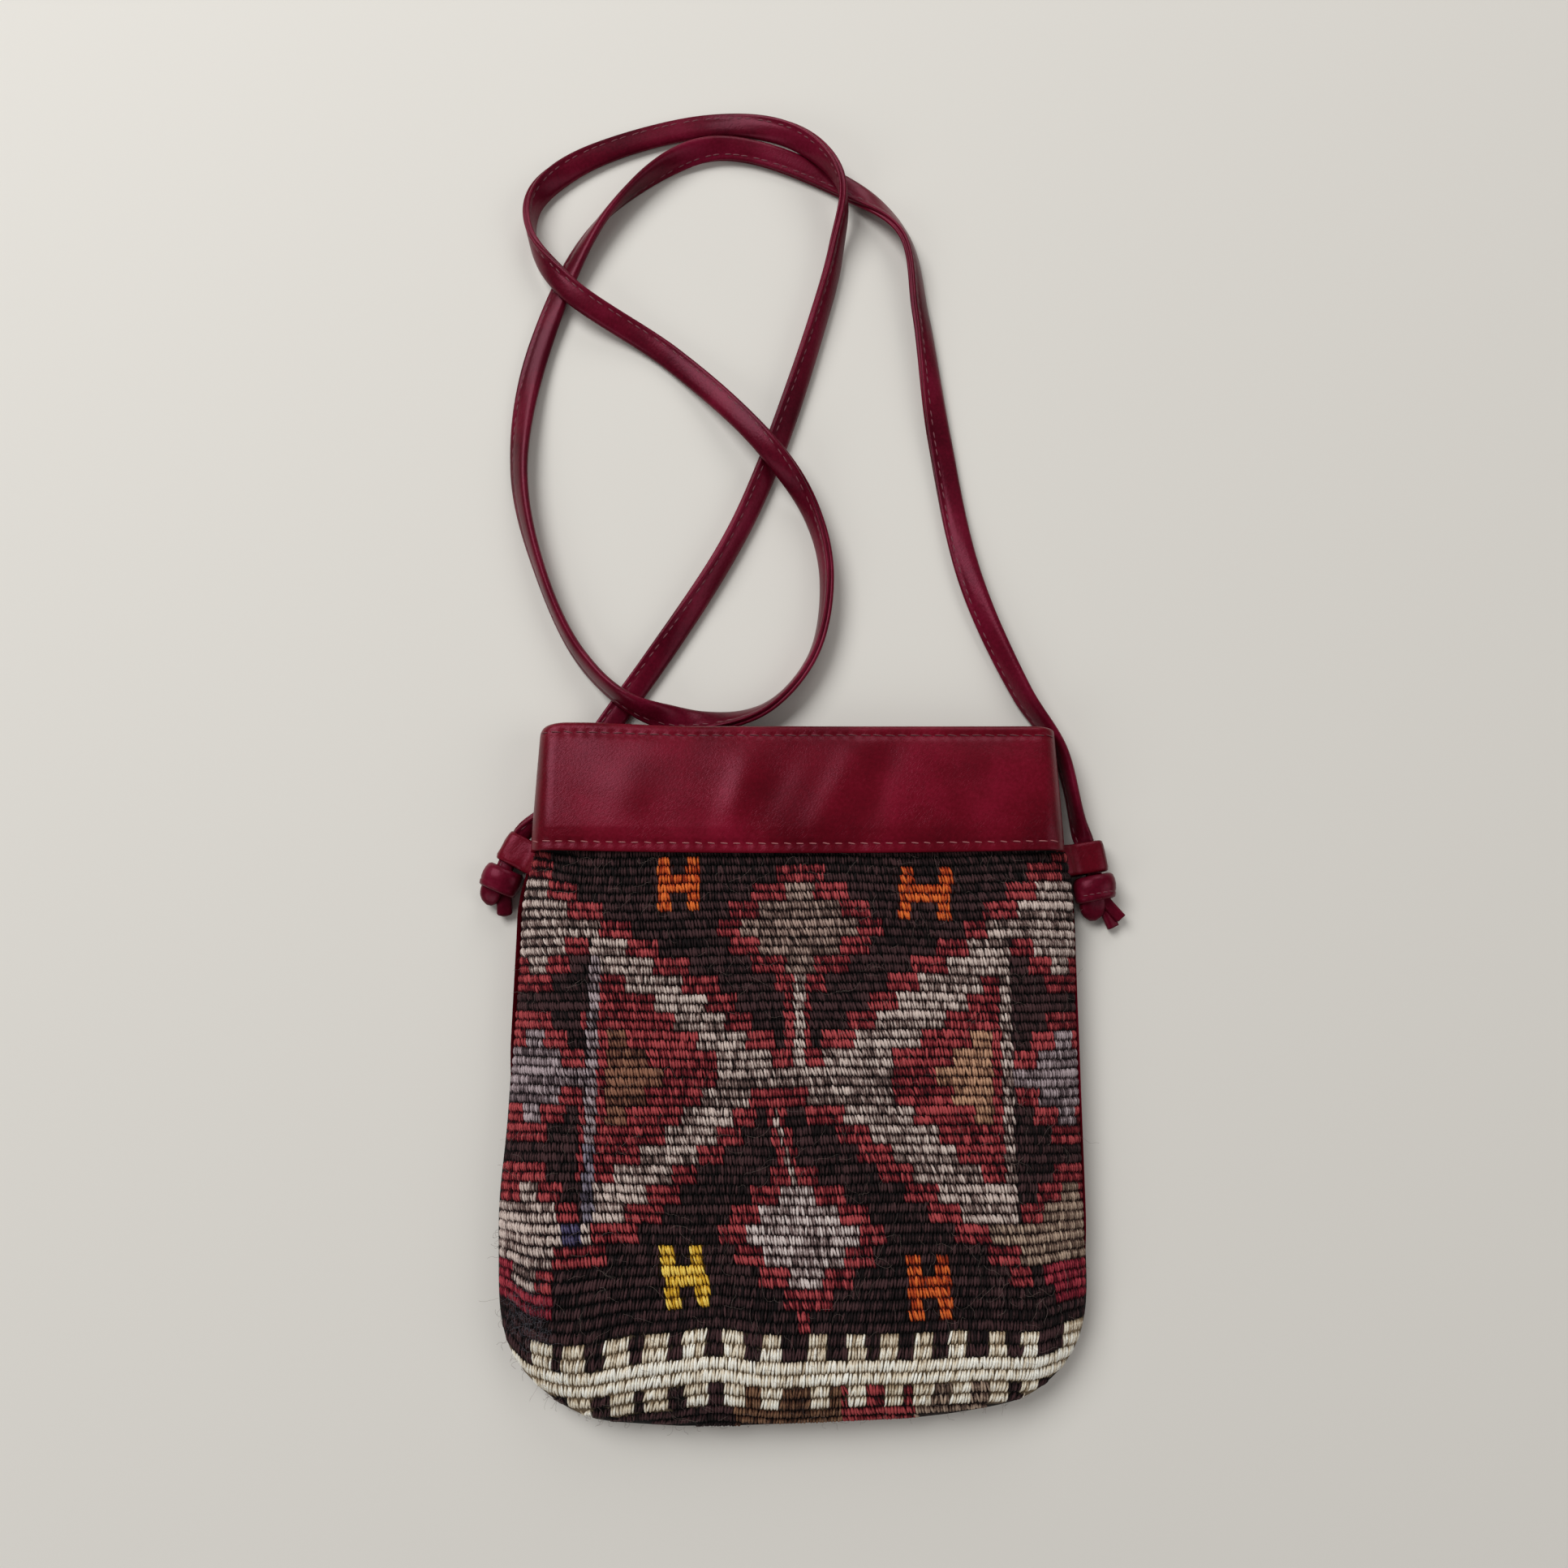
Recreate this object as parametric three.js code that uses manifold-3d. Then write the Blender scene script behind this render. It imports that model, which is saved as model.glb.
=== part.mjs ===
// A small shoulder bag. Its front is a piece of flat-woven wool, its back is leather, and a leather
// band runs round the mouth. It has a cotton lining, a leather loop at each side and a long folded
// leather strap that is knotted below both loops.
// Sizes are in millimetres. The bag lies on its back on the floor: +X is to the right, +Y points
// to the mouth and +Z points up out of the woven front. The origin is on the floor under the middle.

import * as THREE from "three";
import { mergeVertices } from "three/addons/utils/BufferGeometryUtils.js";
import Module from "manifold-3d";

const wasm = await Module();
wasm.setup();

// Outline of the bag
const HEIGHT = 208;
const MOUTH_WIDTH = 168;
const WIDEST_WIDTH = 177;
const CORNER_RISE = 46;
const CORNER_POWER = 3.2;
const FOOT_SHARE = 0.985;

// Thicknesses of the materials and the clearance between neighbours
const LEATHER = 1.4;
const KILIM = 2.4;
const LINING = 0.6;
const CLEARANCE = 0.3;

// Depth of the bag as it lies
const BODY_DEPTH = 18;
const SEAM_HEIGHT = 8.5;
const BACK_ROLL = 10;
const FRONT_ROLL = 24;
const KILIM_INSET = 1.5;
const RIB_PITCH = 2.78;
const RIB_RELIEF = 0.8;

// Mouth band
const BAND_HEIGHT = 41;
const MOUTH_LIFT = 4.2;
const NECK_OPENING = 6;
const RIM_DEPTH = 11.4;
const HEM_DEPTH = 14;
const TUCK = 6;
const TUCK_INSET = 6;
const LIFT_RUN = 24;
const NECK_RUN = 36;
const BACK_TUCK_RUN = 6;
const KILIM_TUCK_RUN = 4;

// Lining
const LINING_INSET = 12;
const LINING_SLACK = 1.4;

// Strap, its two side loops and its knots
const STRAP_WIDTH = 9;
const STRAP_THICKNESS = 3;
const STRAP_BEVEL = 0.6;
const LOOP_CLEARANCE = 0.5;
const LOOP_WIDTH = 10;
const LOOP_LEATHER = 1.4;
const LOOP_HEIGHT = 4.3;
const LOOP_DROP = 0.5;
const LOOP_LEAN = 14;
const LOOP_STEM = 2.9;
const STEM_DEPTH = 2.6;
const STEM_HEIGHT = 9.6;
const KNOT_RADII = [7, 5.2, 4.7];
const KNOT_DROP = 2.4;
const LOBE_RADII = [4.2, 4.2, 3.4];
const LEFT_LOBE = [3.4, -6.2];
const RIGHT_LOBE = [-1.4, -6.2];
const TAIL_SIZE = [6, 9, 3];
const LEFT_TAIL = [-1.6, -9.4];
const RIGHT_TAIL = [5.2, -8.4];

// Fineness of the curved surfaces
const KILIM_COLUMNS = 12;
const BACK_COLUMNS = 16;
const BACK_BODY_ROWS = 18;
const BACK_NECK_ROWS = 12;
const LINING_COLUMNS = 10;
const LINING_BODY_ROWS = 12;
const LINING_NECK_ROWS = 8;
const LINING_TUCK_ROWS = 4;
const FOOT_CROWDING = 1.5;
const BAND_ARC_STEPS = 10;
const STRAP_STEPS = 78;
const LOOP_CURVE_STEPS = 4;
const LUMP_SEGMENTS = [16, 10];

// Route of the strap's middle line from the left knot to the right knot
const STRAP_ROUTE = [
  [-95.3, 55.2, 4.3], [-93.0, 64.4, 4.3], [-91.4, 70.4, 4.1], [-82.0, 78.8, 1.9],
  [-62.0, 107.3, 1.8], [-25.3, 164.5, 2.6], [-10.8, 197.2, 1.8], [7.0, 252.1, 3.2],
  [14.2, 281.0, 4.8], [15.9, 306.0, 7.8], [-1.5, 327.4, 5.0], [-33.0, 334.0, 1.9],
  [-79.6, 318.2, 2.6], [-95.0, 301.0, 4.4], [-94.8, 284.0, 5.2], [-81.4, 264.6, 6.5],
  [-43.8, 239.2, 2.0], [-11.0, 204.8, 6.3], [4.6, 180.2, 4.4], [9.6, 156.5, 4.4],
  [4.8, 129.0, 4.4], [-10.8, 111.5, 3.6], [-33.0, 107.4, 2.2], [-54.0, 111.8, 6.9],
  [-72.4, 129.0, 4.6], [-87.4, 159.4, 3.2], [-96.6, 198.0, 1.9], [-91.0, 245.2, 1.8],
  [-67.0, 300.8, 1.9], [-31.0, 325.0, 2.0], [18.4, 308.3, 1.8], [38.4, 289.2, 2.4],
  [44.3, 257.0, 2.2], [49.7, 209.2, 1.9], [58.5, 158.7, 1.9], [74.9, 117.5, 1.8],
  [86.6, 97.5, 1.8], [91.2, 71.6, 4.1], [93.0, 64.4, 4.3], [95.3, 55.2, 4.3],
];

// Heights along Y
const TOP = HEIGHT / 2;
const BOTTOM = -HEIGHT / 2;
const CORNER_START = BOTTOM + CORNER_RISE * FOOT_SHARE;
const BAND_LOW = TOP - BAND_HEIGHT;
const TUCK_TOP = BAND_LOW + TUCK;

// Stack of layers at the neck, from the floor up
const NECK_BACK = MOUTH_LIFT + LEATHER + CLEARANCE;
const NECK_LINING_LOW = NECK_BACK + LEATHER + CLEARANCE;
const NECK_LINING_HIGH = NECK_LINING_LOW + NECK_OPENING + 2 * LINING;
const NECK_KILIM = NECK_LINING_HIGH + CLEARANCE;
const NECK_TOP = NECK_KILIM + KILIM + CLEARANCE + LEATHER;

const lerp = THREE.MathUtils.lerp;

// Eased step from 0 before a height to 1 past it
function eased(y, from, run) {
  return THREE.MathUtils.smoothstep(y, from, from + run);
}

// Half the bag's width at a height, less an inset all round
function halfWidth(y, inset) {
  if (y >= CORNER_START) {
    const down = (TOP - y) / (TOP - CORNER_START);
    return lerp(MOUTH_WIDTH, WIDEST_WIDTH, down) / 2 - inset;
  }
  const depth = (CORNER_START - y) / (CORNER_RISE - inset);
  const share = Math.max(1 - depth ** CORNER_POWER, 0) ** (1 / CORNER_POWER);
  return (WIDEST_WIDTH / 2 - inset) * share;
}

// Distance from a point inside the outline to the bag's edge
function edgeDistance(x, y) {
  if (y >= CORNER_START) return halfWidth(y, 0) - Math.abs(x);
  const half = WIDEST_WIDTH / 2;
  const across = Math.abs(x) / half;
  const down = (CORNER_START - y) / CORNER_RISE;
  const reach = (across ** CORNER_POWER + down ** CORNER_POWER) ** (1 / CORNER_POWER);
  const slopeX = across ** (CORNER_POWER - 1) / half;
  const slopeY = down ** (CORNER_POWER - 1) / CORNER_RISE;
  return (1 - reach) / (reach ** (1 - CORNER_POWER) * Math.hypot(slopeX, slopeY));
}

// Lowest height of a panel that is inset from the outline: a short straight foot, not a point
function footOf(inset) {
  return CORNER_START - (CORNER_RISE - inset) * FOOT_SHARE;
}

// Share of a rolled edge's rise at a distance from the edge: 0 at the edge, 1 past the roll
function rolled(distance, roll) {
  const open = Math.max(1 - Math.max(distance, 0) / roll, 0);
  return 1 - open ** 2;
}

const lifted = (y) => eased(y, BAND_LOW - LIFT_RUN, LIFT_RUN);
const backTucked = (y) => eased(y, BAND_LOW - BACK_TUCK_RUN, BACK_TUCK_RUN);
const kilimTucked = (y) => eased(y, BAND_LOW - KILIM_TUCK_RUN / 2, KILIM_TUCK_RUN);
const backInset = (y) => TUCK_INSET * backTucked(y);
const kilimInset = (y) => KILIM_INSET + (TUCK_INSET - KILIM_INSET) * kilimTucked(y);

// Underside of the leather back: flat on the floor, rolled up at its edge, lifted to the mouth
function backUnder(x, y) {
  const lift = NECK_BACK * lifted(y);
  const rise = Math.max(SEAM_HEIGHT - LEATHER - lift, 0) * (1 - backTucked(y));
  return lift + rise * (1 - rolled(edgeDistance(x, y) - backInset(y), BACK_ROLL));
}

// Underside of the woven front: it meets the back at the seam and swells to the bag's full depth
function kilimUnder(x, y) {
  const seat = (SEAM_HEIGHT - LEATHER) * (1 - rolled(KILIM_INSET, BACK_ROLL)) + LEATHER;
  const seam = lerp(seat, SEAM_HEIGHT, lifted(y)) + CLEARANCE;
  const edge = lerp(seam, NECK_KILIM, kilimTucked(y));
  const crown = lerp(BODY_DEPTH - KILIM, NECK_KILIM, eased(y, BAND_LOW - NECK_RUN, NECK_RUN));
  return lerp(edge, crown, rolled(edgeDistance(x, y) - kilimInset(y), FRONT_ROLL));
}

// Closed body from points and triangles, turned so that its faces point out
function closedBody(points, triangles) {
  let volume = 0;
  const corner = triangles.map((t) => t.map((i) => new THREE.Vector3(...points[i])));
  for (const [a, b, c] of corner) volume += a.dot(b.clone().cross(c));
  const faces = volume > 0 ? triangles : triangles.map(([a, b, c]) => [a, c, b]);
  const geometry = new THREE.BufferGeometry();
  geometry.setAttribute("position", new THREE.Float32BufferAttribute(points.flat(), 3));
  geometry.setIndex(faces.flat());
  geometry.computeVertexNormals();
  return geometry;
}

function addQuad(triangles, a, b, c, d) {
  triangles.push([a, b, c], [a, c, d]);
}

// Sheet between two surfaces over the outline, with walls round its edge
function panel(rows, columns, half, under, top) {
  const points = [];
  const across = columns.length;
  const count = rows.length * across;
  for (const surface of [under, top]) {
    for (const y of rows) {
      for (const s of columns) {
        const x = s * half(y);
        points.push([x, y, surface(x, y)]);
      }
    }
  }
  const triangles = [];
  for (let i = 0; i + 1 < rows.length; i++) {
    for (let j = 0; j + 1 < across; j++) {
      const a = i * across + j;
      addQuad(triangles, a, a + across, a + across + 1, a + 1);
      addQuad(triangles, count + a, count + a + 1, count + a + across + 1, count + a + across);
    }
  }
  const edge = [];
  for (let j = 0; j < across; j++) edge.push(j);
  for (let i = 1; i < rows.length; i++) edge.push(i * across + across - 1);
  for (let j = across - 2; j >= 0; j--) edge.push((rows.length - 1) * across + j);
  for (let i = rows.length - 2; i > 0; i--) edge.push(i * across);
  edge.forEach((a, k) => {
    const b = edge[(k + 1) % edge.length];
    addQuad(triangles, a, b, count + b, count + a);
  });
  return closedBody(points, triangles);
}

// Values from one end to the other, closer together near the first end
function spread(from, to, count, power) {
  return Array.from({ length: count + 1 }, (_, i) => lerp(from, to, (i / count) ** power));
}

// Columns across a panel, closer together at its rolled edges
function acrossColumns(count) {
  return Array.from({ length: count + 1 }, (_, i) => Math.sin((i / count - 0.5) * Math.PI));
}

// Woven front: each weft row is a ridge, two rows of points to a rib
function kilimFront() {
  const foot = footOf(KILIM_INSET);
  const count = 2 * Math.round((TUCK_TOP - foot) / RIB_PITCH);
  const rows = spread(foot, TUCK_TOP, count, 1);
  const valley = new Map(rows.map((y, i) => [y, i % 2 === 0]));
  const half = (y) => halfWidth(y, kilimInset(y));
  const top = (x, y) => kilimUnder(x, y) + KILIM - (valley.get(y) ? RIB_RELIEF : 0);
  return panel(rows, acrossColumns(KILIM_COLUMNS), half, kilimUnder, top);
}

// Leather back: flat where it rests, turned up all round to the seam
function leatherBack() {
  const body = spread(footOf(0), BAND_LOW - LIFT_RUN, BACK_BODY_ROWS, FOOT_CROWDING);
  const neck = spread(BAND_LOW - LIFT_RUN, TUCK_TOP, BACK_NECK_ROWS, 1).slice(1);
  const half = (y) => halfWidth(y, backInset(y));
  const top = (x, y) => backUnder(x, y) + LEATHER;
  return panel([...body, ...neck], acrossColumns(BACK_COLUMNS), half, backUnder, top);
}

// Point on the band's flattened ring: two flat faces joined by half-round sides
function bandRing(y, inset) {
  const down = Math.min((TOP - y) / (TOP - TUCK_TOP), 1);
  const depth = lerp(RIM_DEPTH, NECK_TOP - MOUTH_LIFT, down);
  const radius = depth / 2;
  const middle = MOUTH_LIFT + radius;
  const flat = halfWidth(y, 0) - radius;
  const ring = [];
  for (const side of [1, -1]) {
    for (let k = 0; k <= BAND_ARC_STEPS; k++) {
      const turn = side * (Math.PI / 2) - side * Math.PI * (k / BAND_ARC_STEPS);
      const x = side * (flat + (radius - inset) * Math.cos(turn));
      ring.push([x, y, middle + (radius - inset) * Math.sin(turn)]);
    }
  }
  return ring;
}

// Mouth band: one strip round the mouth, folded over at the rim and hemmed inside
function mouthBand() {
  const fold = 2 * LEATHER + CLEARANCE / 2;
  const bend = fold / 2;
  const profile = [[0, BAND_LOW], [0, TUCK_TOP], [0, TOP - bend]];
  for (const turn of [45, 90, 135]) {
    const angle = THREE.MathUtils.degToRad(turn);
    profile.push([bend - bend * Math.cos(angle), TOP - bend + bend * Math.sin(angle)]);
  }
  profile.push([fold, TOP - bend], [fold, TOP - HEM_DEPTH], [LEATHER, TOP - HEM_DEPTH]);
  profile.push([LEATHER, TUCK_TOP], [LEATHER, BAND_LOW]);
  const rings = profile.map(([inset, y]) => bandRing(y, inset));
  const points = rings.flat();
  const around = rings[0].length;
  const triangles = [];
  rings.forEach((_, i) => {
    const next = (i + 1) % rings.length;
    for (let k = 0; k < around; k++) {
      const m = (k + 1) % around;
      addQuad(triangles, i * around + k, i * around + m, next * around + m, next * around + k);
    }
  });
  return closedBody(points, triangles);
}

// Ring of the lining at a height: along its lower side, then back along its upper side
function liningRing(y, columns, wall) {
  const half = halfWidth(y, LINING_INSET + wall);
  const low = (x) => (y > TUCK_TOP ? NECK_LINING_LOW : backUnder(x, y) + LEATHER + CLEARANCE);
  const slack = lerp(LINING_SLACK, CLEARANCE, kilimTucked(y));
  const high = (x) => (y > TUCK_TOP ? NECK_LINING_HIGH : kilimUnder(x, y) - slack);
  const lower = columns.map((s) => [s * half, y, low(s * half) + wall]);
  const upper = columns.map((s) => [s * half, y, high(s * half) - wall]).reverse();
  return [...lower, ...upper];
}

// Cotton lining: a thin open pouch that follows the back, the front and the neck
function cottonLining() {
  const columns = acrossColumns(LINING_COLUMNS);
  const top = TOP - HEM_DEPTH - CLEARANCE;
  const heights = (wall) => {
    const tuckStart = BAND_LOW - KILIM_TUCK_RUN / 2;
    const neckStart = BAND_LOW - NECK_RUN;
    const body = spread(footOf(LINING_INSET + wall), neckStart, LINING_BODY_ROWS, FOOT_CROWDING);
    const neck = spread(neckStart, tuckStart, LINING_NECK_ROWS, 1).slice(1);
    const tuck = spread(tuckStart, tuckStart + KILIM_TUCK_RUN, LINING_TUCK_ROWS, 1).slice(1);
    return [...body, ...neck, ...tuck, TUCK_TOP + CLEARANCE, top];
  };
  const outer = heights(0).map((y) => liningRing(y, columns, 0));
  const inner = heights(LINING).map((y) => liningRing(y, columns, LINING));
  const rings = [...outer, ...inner.reverse()];
  const points = rings.flat();
  const around = 2 * columns.length;
  const triangles = [];
  for (let i = 0; i + 1 < rings.length; i++) {
    for (let k = 0; k < around; k++) {
      const m = (k + 1) % around;
      addQuad(triangles, i * around + k, i * around + m, (i + 1) * around + m, (i + 1) * around + k);
    }
  }
  const last = (rings.length - 1) * around;
  for (let j = 0; j + 1 < columns.length; j++) {
    const opposite = around - 1 - j;
    addQuad(triangles, j, opposite, opposite - 1, j + 1);
    addQuad(triangles, last + j, last + j + 1, last + opposite - 1, last + opposite);
  }
  return closedBody(points, triangles);
}

// Solid for booleans, from a geometry with only its positions kept
function toSolid(geometry) {
  const bare = new THREE.BufferGeometry();
  bare.setAttribute("position", geometry.getAttribute("position").clone());
  if (geometry.index) bare.setIndex(geometry.index.clone());
  const merged = mergeVertices(bare, 1e-4);
  const vertProperties = new Float32Array(merged.getAttribute("position").array);
  const triVerts = new Uint32Array(merged.index.array);
  return new wasm.Manifold(new wasm.Mesh({ numProp: 3, vertProperties, triVerts }));
}

function fromSolid(solid) {
  const { vertProperties, triVerts } = solid.getMesh();
  const geometry = new THREE.BufferGeometry();
  geometry.setAttribute("position", new THREE.BufferAttribute(vertProperties, 3));
  geometry.setIndex(new THREE.BufferAttribute(triVerts, 1));
  geometry.computeVertexNormals();
  return geometry;
}

// Folded strap: a flat section with eased edges, swept along its route
function shoulderStrap() {
  const x = STRAP_THICKNESS / 2;
  const y = STRAP_WIDTH / 2;
  const section = new THREE.Shape([
    new THREE.Vector2(x, y - STRAP_BEVEL), new THREE.Vector2(x - STRAP_BEVEL, y),
    new THREE.Vector2(STRAP_BEVEL - x, y), new THREE.Vector2(-x, y - STRAP_BEVEL),
    new THREE.Vector2(-x, STRAP_BEVEL - y), new THREE.Vector2(STRAP_BEVEL - x, -y),
    new THREE.Vector2(x - STRAP_BEVEL, -y), new THREE.Vector2(x, STRAP_BEVEL - y),
  ]);
  const route = new THREE.CatmullRomCurve3(STRAP_ROUTE.map((p) => new THREE.Vector3(...p)));
  const sweep = { steps: STRAP_STEPS, extrudePath: route, bevelEnabled: false };
  return new THREE.ExtrudeGeometry(section, sweep);
}

// Side loop: a leather tab folded round the strap, its stem sewn into the side of the bag
function strapLoop(side) {
  const holeX = STRAP_WIDTH / 2 + LOOP_CLEARANCE;
  const holeZ = STRAP_THICKNESS / 2 + LOOP_CLEARANCE;
  const outX = holeX + LOOP_LEATHER;
  const outZ = holeZ + LOOP_LEATHER;
  const centre = LOOP_STEM + holeX;
  const stemTop = STEM_HEIGHT + STEM_DEPTH / 2 - LOOP_HEIGHT;
  const stemLow = STEM_HEIGHT - STEM_DEPTH / 2 - LOOP_HEIGHT;
  const inside = -LOOP_WIDTH;
  const tab = new THREE.Shape();
  tab.moveTo(inside, stemTop);
  tab.lineTo(centre - outX, stemTop);
  tab.quadraticCurveTo(centre - holeX, outZ, centre - holeX / 2, outZ);
  tab.lineTo(centre + holeX / 2, outZ);
  tab.quadraticCurveTo(centre + outX, outZ, centre + outX, 0);
  tab.quadraticCurveTo(centre + outX, -outZ, centre + holeX / 2, -outZ);
  tab.lineTo(centre - holeX / 2, -outZ);
  tab.quadraticCurveTo(centre - outX, -outZ, centre - outX, 0);
  tab.lineTo(centre - outX, stemLow);
  tab.lineTo(inside, stemLow);
  const hole = new THREE.Path();
  hole.moveTo(centre - holeX, -holeZ);
  hole.lineTo(centre + holeX, -holeZ);
  hole.lineTo(centre + holeX, holeZ);
  hole.lineTo(centre - holeX, holeZ);
  tab.holes.push(hole);
  const cut = { depth: LOOP_WIDTH, bevelEnabled: false, curveSegments: LOOP_CURVE_STEPS };
  const strip = new THREE.ExtrudeGeometry(tab, cut);
  strip.translate(0, 0, -LOOP_WIDTH / 2);
  strip.rotateX(Math.PI / 2);
  strip.rotateZ(THREE.MathUtils.degToRad(LOOP_LEAN));
  strip.translate(loopSeat(), BAND_LOW - LOOP_DROP, LOOP_HEIGHT);
  const bagSide = new THREE.BoxGeometry(WIDEST_WIDTH, HEIGHT, HEIGHT);
  bagSide.translate(loopSeat() - WIDEST_WIDTH / 2, 0, 0);
  const geometry = fromSolid(toSolid(strip).subtract(toSolid(bagSide)));
  return side > 0 ? geometry : mirrored(geometry);
}

// Distance from the middle to the face where a loop's stem meets the side of the bag
function loopSeat() {
  return halfWidth(BAND_LOW - LOOP_DROP, 0) + CLEARANCE;
}

// Copy reflected to the left side, with its faces turned to point out again
function mirrored(geometry) {
  const copy = geometry.clone();
  copy.scale(-1, 1, 1);
  const order = copy.index.array;
  for (let k = 0; k < order.length; k += 3) [order[k + 1], order[k + 2]] = [order[k + 2], order[k + 1]];
  copy.computeVertexNormals();
  return copy;
}

// Round lump of a knot
function lump(radii, x, y, z) {
  const ball = new THREE.SphereGeometry(1, ...LUMP_SEGMENTS);
  ball.scale(...radii);
  ball.translate(x, y, z);
  return toSolid(ball);
}

// Overhand knot below a loop: its wrap, the lobe under it and the cut end of the strap
function strapKnot(end, side) {
  const [endX, endY, endZ] = end;
  const lobeOffset = side > 0 ? RIGHT_LOBE : LEFT_LOBE;
  const tailOffset = side > 0 ? RIGHT_TAIL : LEFT_TAIL;
  const x = Math.abs(endX);
  const y = endY - KNOT_DROP;
  const tail = new THREE.BoxGeometry(...TAIL_SIZE);
  tail.rotateZ(THREE.MathUtils.degToRad(LOOP_LEAN));
  tail.translate(x + tailOffset[0], y + tailOffset[1], TAIL_SIZE[2] / 2 + CLEARANCE);
  const socketWidth = STRAP_WIDTH + 2 * LOOP_CLEARANCE;
  const socketDepth = STRAP_THICKNESS + 2 * LOOP_CLEARANCE;
  const socketLength = 2 * KNOT_RADII[1];
  const socket = new THREE.BoxGeometry(socketWidth, socketLength, socketDepth);
  socket.translate(0, socketLength / 2 - CLEARANCE, 0);
  socket.rotateZ(THREE.MathUtils.degToRad(LOOP_LEAN));
  socket.translate(x, endY, endZ);
  const wrap = lump(KNOT_RADII, x, y, KNOT_RADII[2] + CLEARANCE);
  const lobe = lump(LOBE_RADII, x + lobeOffset[0], y + lobeOffset[1], LOBE_RADII[2] + CLEARANCE);
  const knot = wrap.add(lobe).add(toSolid(tail)).subtract(toSolid(socket));
  const geometry = fromSolid(knot);
  return side > 0 ? geometry : mirrored(geometry);
}

const burgundy = { color: 0x5b1220, roughness: 0.42, metalness: 0 };
const strapLeather = { color: 0x57101f, roughness: 0.38, metalness: 0 };
const wool = { color: 0x55383a, roughness: 0.95, metalness: 0 };
const cotton = { color: 0x4a2a2c, roughness: 0.9, metalness: 0 };

const bag = new THREE.Group();

function addPiece(name, geometry, finish) {
  const mesh = new THREE.Mesh(geometry, new THREE.MeshStandardMaterial(finish));
  mesh.name = name;
  bag.add(mesh);
}

addPiece("kilim_front_panel", kilimFront(), wool);
addPiece("leather_back_panel", leatherBack(), burgundy);
addPiece("leather_mouth_band", mouthBand(), burgundy);
addPiece("cotton_lining", cottonLining(), cotton);
addPiece("left_strap_loop", strapLoop(-1), burgundy);
addPiece("right_strap_loop", strapLoop(1), burgundy);
addPiece("shoulder_strap", shoulderStrap(), strapLeather);
addPiece("left_strap_knot", strapKnot(STRAP_ROUTE[0], -1), strapLeather);
addPiece("right_strap_knot", strapKnot(STRAP_ROUTE[STRAP_ROUTE.length - 1], 1), strapLeather);

export default bag;
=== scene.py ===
# %% [markdown]
# # A small kilim shoulder bag
# The bag lies on its leather back, with its flat-woven wool front up and its long leather strap laid
# in loops above it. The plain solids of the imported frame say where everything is. This lesson gives
# each of them its real surface: wool strokes, folded leather, thread and loose fibres.

# %% Load the frame
import math

import bpy
import numpy as np
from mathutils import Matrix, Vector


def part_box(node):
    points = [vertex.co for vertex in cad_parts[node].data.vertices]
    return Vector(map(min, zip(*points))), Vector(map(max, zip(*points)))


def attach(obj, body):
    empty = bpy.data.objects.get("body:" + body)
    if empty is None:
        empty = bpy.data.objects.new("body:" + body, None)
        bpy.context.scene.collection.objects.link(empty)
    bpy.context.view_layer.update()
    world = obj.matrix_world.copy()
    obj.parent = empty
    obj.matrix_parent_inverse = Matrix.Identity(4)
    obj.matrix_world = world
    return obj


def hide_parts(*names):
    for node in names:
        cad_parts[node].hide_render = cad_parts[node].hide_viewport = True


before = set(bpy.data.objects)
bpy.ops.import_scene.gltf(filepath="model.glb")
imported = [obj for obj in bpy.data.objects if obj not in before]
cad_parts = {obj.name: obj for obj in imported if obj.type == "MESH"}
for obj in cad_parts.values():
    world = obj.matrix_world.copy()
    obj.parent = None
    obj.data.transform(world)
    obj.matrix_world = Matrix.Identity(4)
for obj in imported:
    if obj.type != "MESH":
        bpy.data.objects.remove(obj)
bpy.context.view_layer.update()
MM = 0.001
rng = np.random.default_rng(11)
print("solids in the frame:", ", ".join(sorted(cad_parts)))

# %% [markdown]
# ## The camera
# The photograph was taken from almost straight above. The camera leans eleven degrees towards the
# strap, close enough that the near parts look a little larger.

# %% Place the camera
CAMERA_PLACE = (-0.0047, 0.01493, 0.3687)
CAMERA_LEAN = 11
CAMERA_LENS = 26.09
scene = bpy.context.scene
camera = bpy.data.objects.new("camera", bpy.data.cameras.new("camera"))
camera.data.lens = CAMERA_LENS
camera.location = CAMERA_PLACE
camera.rotation_euler = (math.radians(CAMERA_LEAN), 0, 0)
scene.collection.objects.link(camera)
scene.camera = camera
print("camera height:", camera.location.z, "m")

# %% [markdown]
# ## Helpers for meshes
# All lengths below are in millimetres, as on the CAD part, and `make_piece` turns them into metres.
# A swept body is a row of rings, so its faces are a grid that closes round each ring. The body's
# volume tells whether its faces look out, and they are turned if they don't.

# %% Make meshes from arrays
def grid_faces(rows, columns, close_rows=False, close_columns=False):
    index = np.arange(rows * columns).reshape(rows, columns)
    if close_rows:
        index = np.vstack([index, index[:1]])
    if close_columns:
        index = np.hstack([index, index[:, :1]])
    corners = [index[:-1, :-1], index[1:, :-1], index[1:, 1:], index[:-1, 1:]]
    return np.stack(corners, axis=-1).reshape(-1, 4).tolist()


def turned_out(points, faces):
    volume = 0.0
    for count in {len(face) for face in faces}:
        group = np.array([face for face in faces if len(face) == count])
        for k in range(1, count - 1):
            a, b, c = points[group[:, 0]], points[group[:, k]], points[group[:, k + 1]]
            volume += np.einsum("ij,ij->i", a, np.cross(b, c)).sum()
    return faces if volume > 0 else [face[::-1] for face in faces]


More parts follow.
